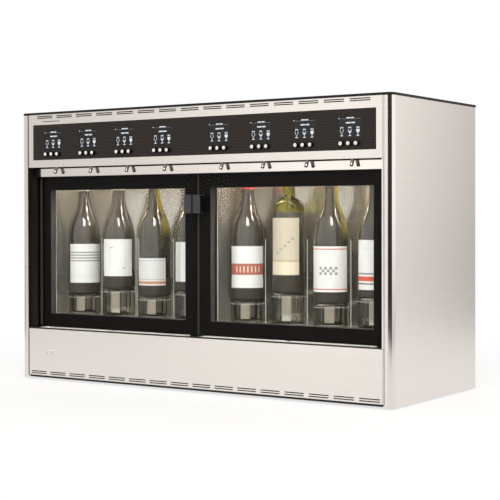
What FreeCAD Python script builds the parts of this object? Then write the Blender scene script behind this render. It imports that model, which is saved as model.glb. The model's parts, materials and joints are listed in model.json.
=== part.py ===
import FreeCAD, Part
import math
import os

# Countertop wine preservation dispenser: eight bottles in two glazed compartments, each bottle
# on its own lift under a dispensing head, with a display and three pour buttons per bottle.
# Millimetres. +Z up, +X to the right of someone facing the front, front face towards -Y.
# The origin is on the table, under the middle of the body.

Vector = FreeCAD.Vector

# ---------------------------------------------------------------- driving sizes
# bottle stations along the width
stations_per_side = 4
station_pitch = 112.3
centre_gap = 161.0            # between the two stations beside the middle
bay_half = 55.5               # from an end station to the compartment wall beside it
side_wall = 27.1              # from the compartment wall to the door jamb
flange_width = 20.0           # front flange of a side panel, outside the jamb

# body
body_depth = 412.0
body_height = 660.0
sheet = 1.5                   # folded stainless sheet
corner_radius = 10.0
cover_thickness = 5.5
cover_overhang = 1.0
cover_rim = 32.0              # full-height edge of the top cover, around its hollow underside
panel_gap = 4.0               # gap between a side flange and the fascia or lower panel
skirt_clearance = 3.0         # side panels stop this far above the table

# base
foot_height = 9.0
foot_radius = 16.0
foot_inset = 60.0
foot_edge = 1.0
pan_thickness = 2.5
lip_height = 4.0

# heights of the front: the ledge from the table, the rest down from the top, the doors between
ledge_height = 125.0
door_gap_below = 5.0
door_gap_above = 1.5
rail_height = 22.3
rail_setback = 24.0           # fascia front to rail face
rail_shadow_gap = 2.9         # rail to the fascia's lower lip
rail_upright = 7.0            # width of the strips that run down beside the doors
rail_foot = 6.0               # depth of the rail's foot, to the frame's sill and header
jamb_width = 9.0
frame_wall = 2.5              # folded sheet of the frame
hinge_block = 30.0            # solid end of sill and header, in from the jamb

# doors
door_setback = 32.0
glass_thickness = 4.0
frame_thickness = 16.0
frame_rear_round = 6.0        # clears the portal as the door turns
door_meeting_gap = 6.0
meeting_x = -3.5              # the doors meet a little to the left of the middle
door_side_gap = 11.0
stile_width = 33.0
top_border = 32.5
bottom_border = 31.6
pivot_inset = 9.0             # hinge axis, in from the door's outer edge
pivot_depth = 10.0            # hinge axis, behind the door's front face
pin_radius = 4.0
pin_engagement = 10.0
pin_collar_radius = 7.0
running_clearance = 0.05      # radial, pin or rod in its bore
door_rear_gap = 2.0

# latch blocks
latch_width = 21.5
latch_height = 42.0
latch_below_top = 69.5        # latch centre below the door's upper edge
latch_depth = 20.0
latch_edge = 1.5
latch_round = 2.0

# compartments
portal_depth = 20.0           # black frame around the compartment openings
liner_wall = 12.0
compartment_depth = 110.0
least_pedestal = 49.0         # compartment floor to the foot of the tallest bottle
portal_sill_rise = 35.0       # ledge to the lower edge of the compartment openings
shelf_thickness = 4.0
bottle_setback = 118.0        # bottle axis behind the front face
mouth_below_fascia = 2.3      # bottle mouths below the fascia's lower edge
head_room = 8.0               # bottle mouth to the compartment ceiling
divider_thickness = 3.0
divider_inset = 4.5           # towards the middle, from halfway between two bottles
divider_depth = 56.0
divider_height = 190.0
light_bar_width = 12.0
light_bar_height = 8.0

# bottles: height, body radius, shoulder start, shoulder length, convex share of the shoulder
burgundy_tall = (313.0, 40.5, 143.0, 107.0, 0.50)
burgundy_short = (297.0, 40.0, 127.0, 107.0, 0.50)
bordeaux = (293.0, 37.0, 190.0, 36.0, 0.62)
bottle_kinds = [burgundy_tall, burgundy_short, burgundy_tall, burgundy_short,
                burgundy_tall, bordeaux, burgundy_tall, burgundy_short]
neck_radius = 14.5
collar_radius = 15.2
collar_height = 26.0
mouth_radius = 9.2
foot_round = 5.0
punt_bore_floor = 40.0        # bottom of the dip tube's space, above the bottle's foot

# lifts
lift_travel = 35.0
pedestal_radius = 40.0
pedestal_wall = 3.0
pedestal_top = 5.0
pedestal_below_floor = 50.0
core_radius = 30.0
core_length = 44.0
guide_clearance = 0.5
shelf_hole_margin = 2.0
rod_radius = 5.0
rod_below_actuator_top = 45.0
actuator_radius = 16.0
actuator_height = 88.0

# dispensing heads
nose_length = 16.0
nose_room = 2.0               # the bottle's mouth is this much deeper than the nose
nose_clearance = 0.3
dip_tube_radius = 3.0
dip_tube_clearance = 1.0
dip_tube_end = 60.0           # above the bottle's foot
seal_radius = 17.0
seal_clearance = 0.5
head_block = (50.0, 62.0, 34.0)
solenoid_radius = 14.0
solenoid_height = 44.0
gas_rail_section = 16.0
gas_inlet_x = 300.0
gas_pipe_radius = 5.0
gas_bore_radius = 2.0
gas_spigot_radius = 4.0
gas_spigot_length = 14.0
gas_nut_length = 6.0

# spouts
spout_radius = 3.9
spout_bore = 2.2
spout_tip_setback = 8.3       # tip behind the fascia's front
spout_drop = 14.5             # tip below the fascia
spout_tilt = 26.0             # degrees off vertical, tip forward
spout_bend = 14.0
spout_hole_clearance = 0.4

# control panel
window_margin_x = 14.9        # fascia end to the control panel
window_bottom_margin = 17.9   # fascia's lower edge to the window
window_height = 87.1
panel_fit = 0.4
panel_recess = 0.8
panel_thickness = 3.3
panel_rim = 6.0
screen_width = 55.0
screen_height = 45.0
screen_bottom = 24.8          # above the control panel window's lower edge
screen_fit = 0.3
board_gap = 8.2               # control panel's back to the board
board_thickness = 1.6
board_margin = 10.0
standoff_radius = 3.0
button_radius = 5.0
button_pitch = 18.5
button_height = 14.1          # above the control panel window's lower edge
button_proud = 9.0
button_edge = 0.4
button_travel = 1.5
button_flange = 1.5
button_flange_margin = 1.5
button_stem_radius = 2.0
button_rest_gap = 0.2
switch_size = 6.0
switch_height = 1.8

# vents and slots
slit_height = 2.3
top_slits = 15
top_slit_pitch = 63.3
top_slit_length = 50.0
top_slit_rows = 2
top_slit_row_pitch = 4.2
top_slit_margin = 4.5         # upper row to the fascia's upper edge
low_slits = 16
low_slit_pitch = 62.0
low_slit_length = 50.0
low_slit_rows = 2
low_slit_row_pitch = 4.9
low_slit_margin = 4.6         # lower row to the lower panel's lower edge
lower_panel_bottom = 10.0
card_slot_length = 54.6
card_slot_height = 1.6
card_slot_x = -421.8
card_slot_gap = 7.7           # window to card slot
card_slot_clearance = 8.8     # card slot to the lower row of slits

# drip trays
tray_length = 212.0
tray_depth = 29.2
tray_setback = 0.8
tray_lift = 2.0                # shadow gap between the ledge and a tray's grille
tray_reach = 9.0               # the two inner trays are this much longer, towards the middle
tray_pad = 5.0                 # width of the pads that carry a tray on the ledge
tray_drop = 15.0
tray_wall = 1.0
tray_rim = 2.0
tray_slots = 4
tray_slot_width = 3.0

# power button
power_x = -431.0
power_height = 68.0
power_radius = 8.0
power_proud = 0.8
power_boss_wall = 2.5
power_boss_depth = 8.8

# rear and inside
rear_bottom = 11.5
rear_post_width = 28.0
rear_post_depth = 20.0
rear_vents = 24
rear_vent_pitch = 14.0
rear_vent_length = 120.0
rear_vent_width = 5.0
rear_vent_height = 200.0
screw_radius = 3.5
screw_head = 2.0
screw_inset = 7.0             # in from the cover's upright edges
screw_levels = (0.06, 0.35, 0.65, 0.94)   # shares of the cover's height
supply_size = (150.0, 82.0, 52.0)
supply_x = -380.0
inlet_size = (30.0, 24.0)
inlet_pocket = (24.0, 16.0, 15.0)
blade_pitch = 7.0
blade_section = (2.0, 4.0)
inlet_proud = 1.5
compressor_radius = 62.0
compressor_height = 150.0
compressor_x = 330.0
condenser_size = (320.0, 46.0, 170.0)
condenser_fins = 20
condenser_fin_thickness = 1.2
condenser_base = 4.0
condenser_tube = 8.0
condenser_levels = (0.3, 0.75)            # shares of the condenser's height
evaporator_size = (420.0, 7.0, 200.0)
pipe_radius = 4.0

# ---------------------------------------------------------------- derived places
front = -body_depth / 2
back = body_depth / 2
compartment_inner = centre_gap / 2 - bay_half
compartment_outer = centre_gap / 2 + (stations_per_side - 1) * station_pitch + bay_half
jamb_x = compartment_outer + side_wall
half_width = jamb_x + flange_width
cover_bottom = body_height - cover_thickness
pan_top = foot_height + pan_thickness

fascia_height = (window_bottom_margin + window_height + card_slot_gap + card_slot_clearance
                 + (top_slit_rows - 1) * top_slit_row_pitch + top_slit_margin)
fascia_bottom = cover_bottom - fascia_height
rail_bottom = fascia_bottom - rail_height
door_top = rail_bottom - door_gap_above
door_bottom = ledge_height + door_gap_below
latch_centre = door_top - latch_below_top
door_front = front + door_setback
frame_front = door_front + glass_thickness
door_back = frame_front + frame_thickness
portal_front = door_back + door_rear_gap
liner_front = portal_front + portal_depth
cavity_back = liner_front + compartment_depth
liner_back = cavity_back + liner_wall
portal_sill = ledge_height + portal_sill_rise
mouth_height = fascia_bottom - mouth_below_fascia
floor_height = mouth_height - max(kind[0] for kind in bottle_kinds) - least_pedestal
ceiling = mouth_height + head_room
liner_top = ceiling + liner_wall
liner_bottom = floor_height - liner_wall
shelf_bottom = liner_bottom - shelf_thickness
sill_front = front + rail_setback + rail_foot

door_inner_x = {side: door_meeting_gap / 2 + side * meeting_x for side in (-1, 1)}
door_outer_x = jamb_x - door_side_gap
pivot_x = door_outer_x - pivot_inset
pivot_y = door_front + pivot_depth
aperture = {side: (door_inner_x[side] + stile_width, door_outer_x - stile_width,
                   door_bottom + bottom_border, door_top - top_border) for side in (-1, 1)}

bottle_y = front + bottle_setback
station_x = [side * (centre_gap / 2 + k * station_pitch)
             for side, order in ((-1, reversed(range(stations_per_side))),
                                 (1, range(stations_per_side)))
             for k in order]

window_half = jamb_x - panel_gap - window_margin_x + panel_fit
window_bottom = fascia_bottom + window_bottom_margin
window_top = window_bottom + window_height
panel_front = front + panel_recess
panel_back = front + sheet + panel_thickness
board_front = panel_back + board_gap
button_z = window_bottom + button_height
screen_z = window_bottom + screen_bottom

head_front = bottle_y - head_block[1] / 2
head_back = bottle_y + head_block[1] / 2
outlet_z = liner_top + head_block[2] / 2


# ---------------------------------------------------------------- helpers
def box(x0, x1, y0, y1, z0, z1):
    return Part.makeBox(x1 - x0, y1 - y0, z1 - z0, Vector(x0, y0, z0))


def mirrored_box(side, x0, x1, y0, y1, z0, z1):
    """A box given on the right, or its mirror image on the left for side -1."""
    return box(min(side * x0, side * x1), max(side * x0, side * x1), y0, y1, z0, z1)


def post(x, y, z0, z1, radius):
    """An upright cylinder."""
    return Part.makeCylinder(radius, z1 - z0, Vector(x, y, z0))


def rod_y(x, z, y0, y1, radius):
    """A cylinder along Y."""
    return Part.makeCylinder(radius, y1 - y0, Vector(x, y0, z), Vector(0, 1, 0))


def joined(shapes):
    first = shapes[0]
    return first.fuse(shapes[1:]).removeSplitter() if len(shapes) > 1 else first


def edges_along(shape, axis, where):
    """Straight edges parallel to an axis whose middle passes the test."""
    picked = []
    for edge in shape.Edges:
        if not isinstance(edge.Curve, Part.Line):
            continue
        run = edge.Vertexes[-1].Point - edge.Vertexes[0].Point
        if abs(run.dot(axis)) > 0.999 * run.Length and where(edge.CenterOfMass):
            picked.append(edge)
    return picked


def slot(x, y0, y1, z, length, height):
    """A slit through a front or rear sheet, with round ends."""
    r = height / 2
    straight = box(x - length / 2 + r, x + length / 2 - r, y0, y1, z - r, z + r)
    ends = [rod_y(x + s * (length / 2 - r), z, y0, y1, r) for s in (-1, 1)]
    return straight.fuse(ends)


def save(name, solids):
    """Write one sub-part, made of one or more separate solids."""
    shape = solids[0] if len(solids) == 1 else Part.makeCompound(solids)
    shape.exportStep("parts/" + name + ".step")
    print(name, len(shape.Solids), "solids", round(shape.Volume / 1000, 1), "cm3")


# ---------------------------------------------------------------- frame and base
def main_frame():
    """Black folded and welded frame: base pan, jambs, sill, header, compartment portal, shelf."""
    outer = jamb_x + jamb_width
    wall = frame_wall
    post_front = back - sheet - rear_post_depth
    pieces = [box(-outer, outer, front + sheet, back - sheet, foot_height, pan_top),
              box(-jamb_x + panel_gap, jamb_x - panel_gap, front + sheet, front + 2 * sheet,
                  foot_height - lip_height, pan_top),
              box(-outer, outer, portal_front, liner_front, pan_top, liner_top),
              box(-jamb_x, jamb_x, sill_front, portal_front, ledge_height - liner_wall,
                  ledge_height),
              box(-jamb_x, jamb_x, sill_front, portal_front, rail_bottom, fascia_bottom),
              box(-outer, outer, liner_front, liner_back, shelf_bottom, liner_bottom)]
    for side in (-1, 1):
        pieces.append(mirrored_box(side, jamb_x, outer, front + sheet, portal_front,
                                   foot_height, cover_bottom))
        pieces.append(mirrored_box(side, outer - rear_post_width, outer, post_front,
                                   back - sheet, foot_height, cover_bottom))
        pieces.append(mirrored_box(side, jamb_x, outer, liner_front, post_front + wall,
                                   shelf_bottom, liner_bottom))
    frame = joined(pieces)

    inner = jamb_x - hinge_block
    cuts = [box(-inner, inner, sill_front + wall, portal_front, ledge_height - liner_wall - 1,
                ledge_height - wall),
            box(-inner, inner, sill_front + wall, portal_front, rail_bottom + wall,
                fascia_bottom + 1),
            box(-compartment_inner + wall, compartment_inner - wall, portal_front + wall,
                liner_front + 1, pan_top + wall, liner_top - wall),
            box(-outer + wall, outer - wall, portal_front + wall, liner_front + 1,
                door_top + wall, liner_top - wall)]
    for side in (-1, 1):
        cuts.append(mirrored_box(side, compartment_inner, compartment_outer, portal_front - 1,
                                 liner_front + 1, portal_sill, door_top))
        cuts.append(mirrored_box(side, compartment_inner, compartment_outer, portal_front - 1,
                                 liner_front + 1, pan_top + wall, ledge_height - liner_wall - wall))
        cuts.append(mirrored_box(side, compartment_outer + wall, outer - wall,
                                 portal_front + wall, liner_front + 1, pan_top + wall, shelf_bottom))
        cuts.append(mirrored_box(side, compartment_outer + wall, outer - wall,
                                 portal_front + wall, liner_front + 1, liner_bottom,
                                 liner_top - wall))
        cuts.append(mirrored_box(side, jamb_x + wall, outer + 1, front + sheet + wall,
                                 portal_front - wall, pan_top, cover_bottom - wall))
        cuts.append(mirrored_box(side, outer - rear_post_width + wall, outer - wall,
                                 post_front - 1, back - sheet - wall, liner_bottom,
                                 cover_bottom - wall))
        cuts.append(mirrored_box(side, outer - rear_post_width + wall, outer - wall,
                                 post_front - 1, back - sheet - wall, pan_top, shelf_bottom))
        cuts.append(post(side * pivot_x, pivot_y, ledge_height - liner_wall - 1, ledge_height + 1,
                         pin_radius))
        cuts.append(post(side * pivot_x, pivot_y, rail_bottom - 1, fascia_bottom + 1, pin_radius))
    hole = pedestal_radius + guide_clearance + shelf_hole_margin
    cuts += [post(x, bottle_y, shelf_bottom - 1, liner_bottom + 1, hole) for x in station_x]
    save("main_frame", [frame.cut(cuts)])


def feet():
    """Rubber feet: four corners and one under the middle."""
    spots = [(0.0, 0.0)]
    spots += [(sx * (half_width - foot_inset), sy * (body_depth / 2 - foot_inset))
              for sx in (-1, 1) for sy in (-1, 1)]
    pads = []
    for x, y in spots:
        pad = post(x, y, 0, foot_height, foot_radius)
        rim = [e for e in pad.Edges if e.CenterOfMass.z < 0.01 and not isinstance(e.Curve, Part.Line)]
        pads.append(pad.makeFillet(foot_edge, rim))
    save("feet", pads)


def door_hinge_pins():
    """Four pins that the two doors turn on, each with a collar that spaces the door."""
    pins = []
    for side in (-1, 1):
        low = post(side * pivot_x, pivot_y, ledge_height - liner_wall,
                   door_bottom + pin_engagement, pin_radius)
        collar = post(side * pivot_x, pivot_y, ledge_height, door_bottom, pin_collar_radius)
        high = post(side * pivot_x, pivot_y, door_top - pin_engagement, fascia_bottom, pin_radius)
        pins += [joined([low, collar]), high]
    save("door_hinge_pins", pins)


# ---------------------------------------------------------------- outer panels
def side_panel(name, side):
    """Stainless side, folded to a front flange and a rear flange, with a round front corner."""
    outer = mirrored_box(side, jamb_x, half_width, front, back, skirt_clearance, cover_bottom)
    up = Vector(0, 0, 1)
    corner = edges_along(outer, up, lambda p: abs(p.x) > half_width - 1 and p.y < front + 1)
    outer = outer.makeFillet(corner_radius, corner)
    inner = mirrored_box(side, jamb_x - 1, half_width - sheet, front + sheet, back - sheet,
                         skirt_clearance - 1, cover_bottom + 1)
    corner = edges_along(inner, up, lambda p: abs(p.x) > half_width - sheet - 1 and p.y < 0)
    inner = inner.makeFillet(corner_radius - sheet, corner)
    save(name, [outer.cut(inner)])


def top_cover():
    """Black top plate, a little proud of the panels on every side."""
    x = half_width + cover_overhang
    y = body_depth / 2 + cover_overhang
    plate = box(-x, x, -y, y, cover_bottom, body_height)
    corners = edges_along(plate, Vector(0, 0, 1), lambda p: p.y < 0)
    plate = plate.makeFillet(corner_radius + cover_overhang, corners)
    rims = [e for e in plate.Edges if e.BoundBox.ZMin > body_height - 0.01]
    plate = plate.makeFillet(cover_thickness / 4, rims)
    hollow = box(-x + cover_rim, x - cover_rim, -y + cover_rim, y - cover_rim,
                 cover_bottom - 1, body_height - sheet)
    save("top_cover", [plate.cut(hollow)])


def front_fascia():
    """Stainless fascia: window, vent slits, card slot and a lower lip that carries the spouts."""
    x = jamb_x - panel_gap
    face = box(-x, x, front, front + sheet, fascia_bottom, cover_bottom)
    lip = box(-x, x, front, sill_front, fascia_bottom, fascia_bottom + sheet)
    head = box(-x, x, front, front + rail_setback, cover_bottom - sheet, cover_bottom)
    ends = [mirrored_box(side, x - sheet, x, front, front + rail_setback, fascia_bottom,
                         cover_bottom) for side in (-1, 1)]
    shell = joined([face, lip, head] + ends)

    y0, y1 = front - 1, front + sheet + 1
    cuts = [box(-window_half, window_half, y0, y1, window_bottom, window_top)]
    for row in range(top_slit_rows):
        z = cover_bottom - top_slit_margin - row * top_slit_row_pitch
        cuts += [slot((k - (top_slits - 1) / 2) * top_slit_pitch, y0, y1, z, top_slit_length,
                      slit_height) for k in range(top_slits)]
    cuts.append(slot(card_slot_x, y0, y1, window_top + card_slot_gap, card_slot_length,
                     card_slot_height))
    cuts += [spout_run(x, spout_radius + spout_hole_clearance) for x in station_x]
    save("front_fascia", [shell.cut(cuts)])


def spout_rail():
    """Polished strip under the fascia, set back, with a narrow strip down beside each door."""
    x = jamb_x - panel_gap
    y = front + rail_setback
    strip = box(-x, x, y, y + sheet, rail_bottom, fascia_bottom - rail_shadow_gap)
    foot = box(-x, x, y, sill_front, rail_bottom, rail_bottom + sheet)
    uprights = [mirrored_box(side, jamb_x - rail_upright, jamb_x, y, y + sheet, ledge_height,
                             rail_bottom + sheet) for side in (-1, 1)]
    save("spout_rail", [joined([strip, foot] + uprights)])


def tray_spans():
    """Ends of the drip trays in x, one tray for each pair of neighbouring stations."""
    spans = []
    for k in range(0, len(station_x) - 1, 2):
        centre = (station_x[k] + station_x[k + 1]) / 2
        low, high = centre - tray_length / 2, centre + tray_length / 2
        if k == stations_per_side - 2:
            high += tray_reach
        if k == stations_per_side:
            low -= tray_reach
        spans.append((low, high))
    return spans


def lower_front_panel():
    """Stainless lower panel: ledge with tray openings, vent slits and the power button's boss."""
    x = jamb_x - panel_gap
    face = box(-x, x, front, front + sheet, lower_panel_bottom, ledge_height)
    ledge = box(-x, x, front, sill_front, ledge_height - sheet, ledge_height)
    boss = rod_y(power_x, power_height, front - power_proud, front + power_boss_depth,
                 power_radius + running_clearance + power_boss_wall)
    shell = joined([face, ledge, boss])

    y0, y1 = front - 1, front + sheet + 1
    cuts = []
    for row in range(low_slit_rows):
        z = lower_panel_bottom + low_slit_margin + row * low_slit_row_pitch
        cuts += [slot((k - (low_slits - 1) / 2) * low_slit_pitch, y0, y1, z, low_slit_length,
                      slit_height) for k in range(low_slits)]
    for low, high in tray_spans():
        cuts.append(box(low + tray_rim, high - tray_rim, front + tray_setback + tray_rim,
                        front + tray_setback + tray_depth - tray_rim,
                        ledge_height - sheet - 1, ledge_height + 1))
    cuts.append(rod_y(power_x, power_height, front - power_proud - 1,
                      front + power_boss_depth + 1, power_radius + running_clearance))
    save("lower_front_panel", [shell.cut(cuts)])


def drip_trays():
    """Four lift-out trays, each a pan on pads with a slotted grille just above the ledge."""
    solids = []
    y0 = front + tray_setback
    y1 = y0 + tray_depth
    fit = tray_rim + panel_fit
    top = ledge_height + tray_lift
    for low, high in tray_spans():
        pan = box(low + fit, high - fit, y0 + fit, y1 - fit, ledge_height - tray_drop, top)
        wall = fit + tray_wall
        pan = pan.cut(box(low + wall, high - wall, y0 + wall, y1 - wall,
                          ledge_height - tray_drop + tray_wall, top + 1))
        pads = [box(x, x + tray_pad, y0 + fit, y1 - fit, ledge_height, top)
                for x in (low, high - tray_pad)]
        pan = joined([pan] + pads)
        grille = box(low, high, y0, y1, top, top + sheet)
        cuts = []
        pitch = (high - low) / tray_slots
        for k in range(1, tray_slots):
            x = low + k * pitch
            cuts.append(box(x - tray_slot_width / 2, x + tray_slot_width / 2, y0 + 2 * fit,
                            y1 - 2 * fit, top - 1, top + sheet + 1))
        solids += [pan, grille.cut(cuts)]
    save("drip_trays", solids)


def power_button():
    """Flush round push button in the lower panel, turned over its boss at the back."""
    cap = rod_y(power_x, power_height, front - power_proud, front + power_boss_depth + button_rest_gap,
                power_radius)
    flange = rod_y(power_x, power_height, front + power_boss_depth + button_rest_gap,
                   front + power_boss_depth + button_rest_gap + button_flange,
                   power_radius + button_flange_margin)
    save("power_button", [joined([cap, flange])])


def rear_cover():
    """Rear sheet with upright vent slots, inlet cut-outs and its screws."""
    x = jamb_x - panel_gap
    y0, y1 = back - sheet, back
    cover = box(-x, x, y0, y1, rear_bottom, cover_bottom)
    cuts = []
    for k in range(rear_vents):
        cx = (k - (rear_vents - 1) / 2) * rear_vent_pitch
        cuts.append(box(cx - rear_vent_width / 2, cx + rear_vent_width / 2, y0 - 1, y1 + 1,
                        rear_vent_height - rear_vent_length / 2,
                        rear_vent_height + rear_vent_length / 2))
    inlet_x, inlet_z = inlet_place()
    half_x = inlet_size[0] / 2 + panel_fit
    half_z = inlet_size[1] / 2 + panel_fit
    cuts.append(box(inlet_x - half_x, inlet_x + half_x, y0 - 1, y1 + 1,
                    inlet_z - half_z, inlet_z + half_z))
    cuts.append(rod_y(gas_inlet_x, outlet_z, y0 - 1, y1 + 1, gas_pipe_radius + panel_fit))
    screws = []
    for sx in (-1, 1):
        for share in screw_levels:
            z = rear_bottom + share * (cover_bottom - rear_bottom)
            screws.append(rod_y(sx * (x - screw_inset), z, y1, y1 + screw_head,
                                screw_radius))
    save("rear_cover", [cover.cut(cuts)] + screws)


# ---------------------------------------------------------------- compartments
def compartment_liner():
    """Foam-filled liner of polished steel: two compartments and the partition between them."""
    outer = compartment_outer + liner_wall
    body = box(-outer, outer, liner_front, liner_back, liner_bottom, liner_top)
    cuts = []
    for side in (-1, 1):
        cuts.append(mirrored_box(side, compartment_inner, compartment_outer, liner_front - 1,
                                 cavity_back, floor_height, ceiling))
    for x in station_x:
        cuts.append(post(x, bottle_y, liner_bottom - 1, floor_height + 1,
                         pedestal_radius + guide_clearance))
        cuts.append(post(x, bottle_y, ceiling - 1, liner_top + 1, seal_radius + seal_clearance))
    save("compartment_liner", [body.cut(cuts)])


def bay_dividers():
    """Clear upright plates between neighbouring bottles."""
    plates = []
    for side in (-1, 1):
        for k in range(stations_per_side - 1):
            x = side * (centre_gap / 2 + (k + 0.5) * station_pitch - divider_inset)
            plates.append(box(x - divider_thickness / 2, x + divider_thickness / 2,
                              bottle_y - divider_depth / 2, bottle_y + divider_depth / 2,
                              floor_height, floor_height + divider_height))
    save("bay_dividers", plates)


def light_bars():
    """A light bar under the ceiling of each compartment, behind the portal's header."""
    bars = []
    for side in (-1, 1):
        bars.append(mirrored_box(side, compartment_inner + liner_wall,
                                 compartment_outer - liner_wall, liner_front,
                                 liner_front + light_bar_width, ceiling - light_bar_height,
                                 ceiling))
    save("light_bars", bars)


# ---------------------------------------------------------------- bottles and lifts
def bottle(x, kind):
    """A filled bottle as one closed body, with its mouth and the dip tube's space."""
    height, radius, shoulder, length, convex = kind
    foot = mouth_height - height
    reach = radius - neck_radius
    turn = 2 * math.atan(reach / length)
    total = length / math.sin(turn)
    big = convex * total

    def p(r, z):
        return Vector(r, 0, z)

    def on_convex(angle):
        return p(radius - big * (1 - math.cos(angle)), shoulder + big * math.sin(angle))

    small = total - big
    top = shoulder + length

    def on_concave(angle):
        return p(neck_radius + small * (1 - math.cos(angle)), top - small * math.sin(angle))

    r = foot_round
    corner = p(radius - r + r * math.sin(math.pi / 4), r - r * math.cos(math.pi / 4))
    tube = dip_tube_radius + dip_tube_clearance
    edges = [
        Part.LineSegment(p(tube, 0 + punt_bore_floor), p(0, punt_bore_floor)),
        Part.LineSegment(p(0, punt_bore_floor), p(0, 0)),
        Part.LineSegment(p(0, 0), p(radius - r, 0)),
        Part.Arc(p(radius - r, 0), corner, p(radius, r)),
        Part.LineSegment(p(radius, r), p(radius, shoulder)),
        Part.Arc(p(radius, shoulder), on_convex(turn / 2), on_convex(turn)),
        Part.Arc(on_convex(turn), on_concave(turn / 2), p(neck_radius, top)),
        Part.LineSegment(p(neck_radius, top), p(neck_radius, height - collar_height)),
        Part.LineSegment(p(neck_radius, height - collar_height),
                         p(collar_radius, height - collar_height)),
        Part.LineSegment(p(collar_radius, height - collar_height), p(collar_radius, height)),
        Part.LineSegment(p(collar_radius, height), p(mouth_radius, height)),
        Part.LineSegment(p(mouth_radius, height), p(mouth_radius, height - nose_length - nose_room)),
        Part.LineSegment(p(mouth_radius, height - nose_length - nose_room),
                         p(tube, height - nose_length - nose_room)),
        Part.LineSegment(p(tube, height - nose_length - nose_room), p(tube, punt_bore_floor)),
    ]
    wire = Part.Wire([e.toShape() for e in edges])
    solid = Part.Face(wire).revolve(Vector(0, 0, 0), Vector(0, 0, 1), 360)
    solid.translate(Vector(x, bottle_y, foot))
    return solid


def bottle_lift(number, x, kind):
    """Clear pedestal on its piston rod, with the bottle that stands on it."""
    top = mouth_height - kind[0]
    under = top - pedestal_top
    low = liner_bottom - pedestal_below_floor
    cup = post(x, bottle_y, low, top, pedestal_radius)
    cup = cup.cut(post(x, bottle_y, low - 1, under, pedestal_radius - pedestal_wall))
    core = post(x, bottle_y, under - core_length, under, core_radius)
    core = core.cut(post(x, bottle_y, under - core_length - 1, under + 1,
                         core_radius - pedestal_wall))
    rod = post(x, bottle_y, pan_top + actuator_height - rod_below_actuator_top, under, rod_radius)
    save("bottle_lift_%d" % number, [joined([cup, core]), rod, bottle(x, kind)])


def lift_actuators():
    """Eight pneumatic cylinders on the base pan, one under each bottle."""
    bodies = []
    for x in station_x:
        can = post(x, bottle_y, pan_top, pan_top + actuator_height, actuator_radius)
        bore = post(x, bottle_y, pan_top + actuator_height - rod_below_actuator_top - lift_travel - 1,
                    pan_top + actuator_height + 1, rod_radius + running_clearance)
        bodies.append(can.cut(bore))
    save("lift_actuators", bodies)


# ---------------------------------------------------------------- dispensing
def dispensing_heads():
    """Eight heads with stopper, dip tube and solenoid, on one gas rail with its inlet pipe."""
    solids = []
    wide, deep, tall = head_block
    for x, kind in zip(station_x, bottle_kinds):
        block = box(x - wide / 2, x + wide / 2, head_front, head_back, liner_top, liner_top + tall)
        seal = post(x, bottle_y, mouth_height, liner_top, seal_radius)
        nose = post(x, bottle_y, mouth_height - nose_length, mouth_height,
                    mouth_radius - nose_clearance)
        tube = post(x, bottle_y, mouth_height - kind[0] + dip_tube_end,
                    mouth_height - nose_length, dip_tube_radius)
        solids.append(joined([block, seal, nose, tube]))
        solids.append(post(x, bottle_y, liner_top + tall, liner_top + tall + solenoid_height,
                           solenoid_radius))
    half = station_x[-1] + wide / 2
    section = gas_rail_section
    rail = box(-half, half, head_back, head_back + section, outlet_z - section / 2,
               outlet_z + section / 2)
    pipe = rod_y(gas_inlet_x, outlet_z, head_back + section, back + gas_nut_length, gas_pipe_radius)
    spigot = rod_y(gas_inlet_x, outlet_z, back + gas_nut_length,
                   back + gas_nut_length + gas_spigot_length, gas_spigot_radius)
    gas_line = joined([rail, pipe, spigot])
    bore = rod_y(gas_inlet_x, outlet_z, head_back + section / 2,
                 back + gas_nut_length + gas_spigot_length + 1, gas_bore_radius)
    solids.append(gas_line.cut(bore))
    save("dispensing_heads", solids)


def spout_points():
    """Tip, bend corner and head end of a spout's centre line, in the station's own plane."""
    tilt = math.radians(spout_tilt)
    tip = Vector(0, front + spout_tip_setback, fascia_bottom - spout_drop)
    rise = outlet_z - tip.z
    corner = Vector(0, tip.y + rise * math.tan(tilt), outlet_z)
    return tip, corner, Vector(0, head_front, outlet_z)


def spout_run(x, radius):
    """The straight, tilted run of a spout, from its tip to the corner of its bend."""
    tip, corner, _ = spout_points()
    run = corner - tip
    return Part.makeCylinder(radius, run.Length, tip + Vector(x, 0, 0), run)


def spout_tube(radius, overshoot):
    """A spout's outline, or its bore where the ends overshoot the tube."""
    tip, corner, end = spout_points()
    down = (tip - corner).normalize()
    level = (end - corner).normalize()
    half_turn = (math.pi - down.getAngle(level)) / 2
    cut_back = spout_bend * math.tan(half_turn)
    start = corner + down * cut_back
    finish = corner + level * cut_back
    middle = corner + (down + level).normalize() * (spout_bend / math.cos(half_turn) - spout_bend)
    path = Part.Wire([Part.LineSegment(tip + down * overshoot, start).toShape(),
                      Part.Arc(start, middle, finish).toShape(),
                      Part.LineSegment(finish, end + level * overshoot).toShape()])
    ring = Part.Wire([Part.Circle(tip + down * overshoot, down, radius).toShape()])
    return path.makePipeShell([ring], True, False)


def spouts():
    """Eight bent stainless tubes from the heads' outlets down through the fascia's lip."""
    tube = spout_tube(spout_radius, 0.0).cut(spout_tube(spout_bore, 1.0))
    copies = []
    for x in station_x:
        copy = tube.copy()
        copy.translate(Vector(x, 0, 0))
        copies.append(copy.Solids[0])
    save("spouts", copies)


# ---------------------------------------------------------------- control panel
def button_places():
    """Centre of every pour button: station number, name and x."""
    names = ("small", "medium", "large")
    return [(n, names[k], x + (k - 1) * button_pitch)
            for n, x in enumerate(station_x, 1) for k in range(3)]


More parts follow.
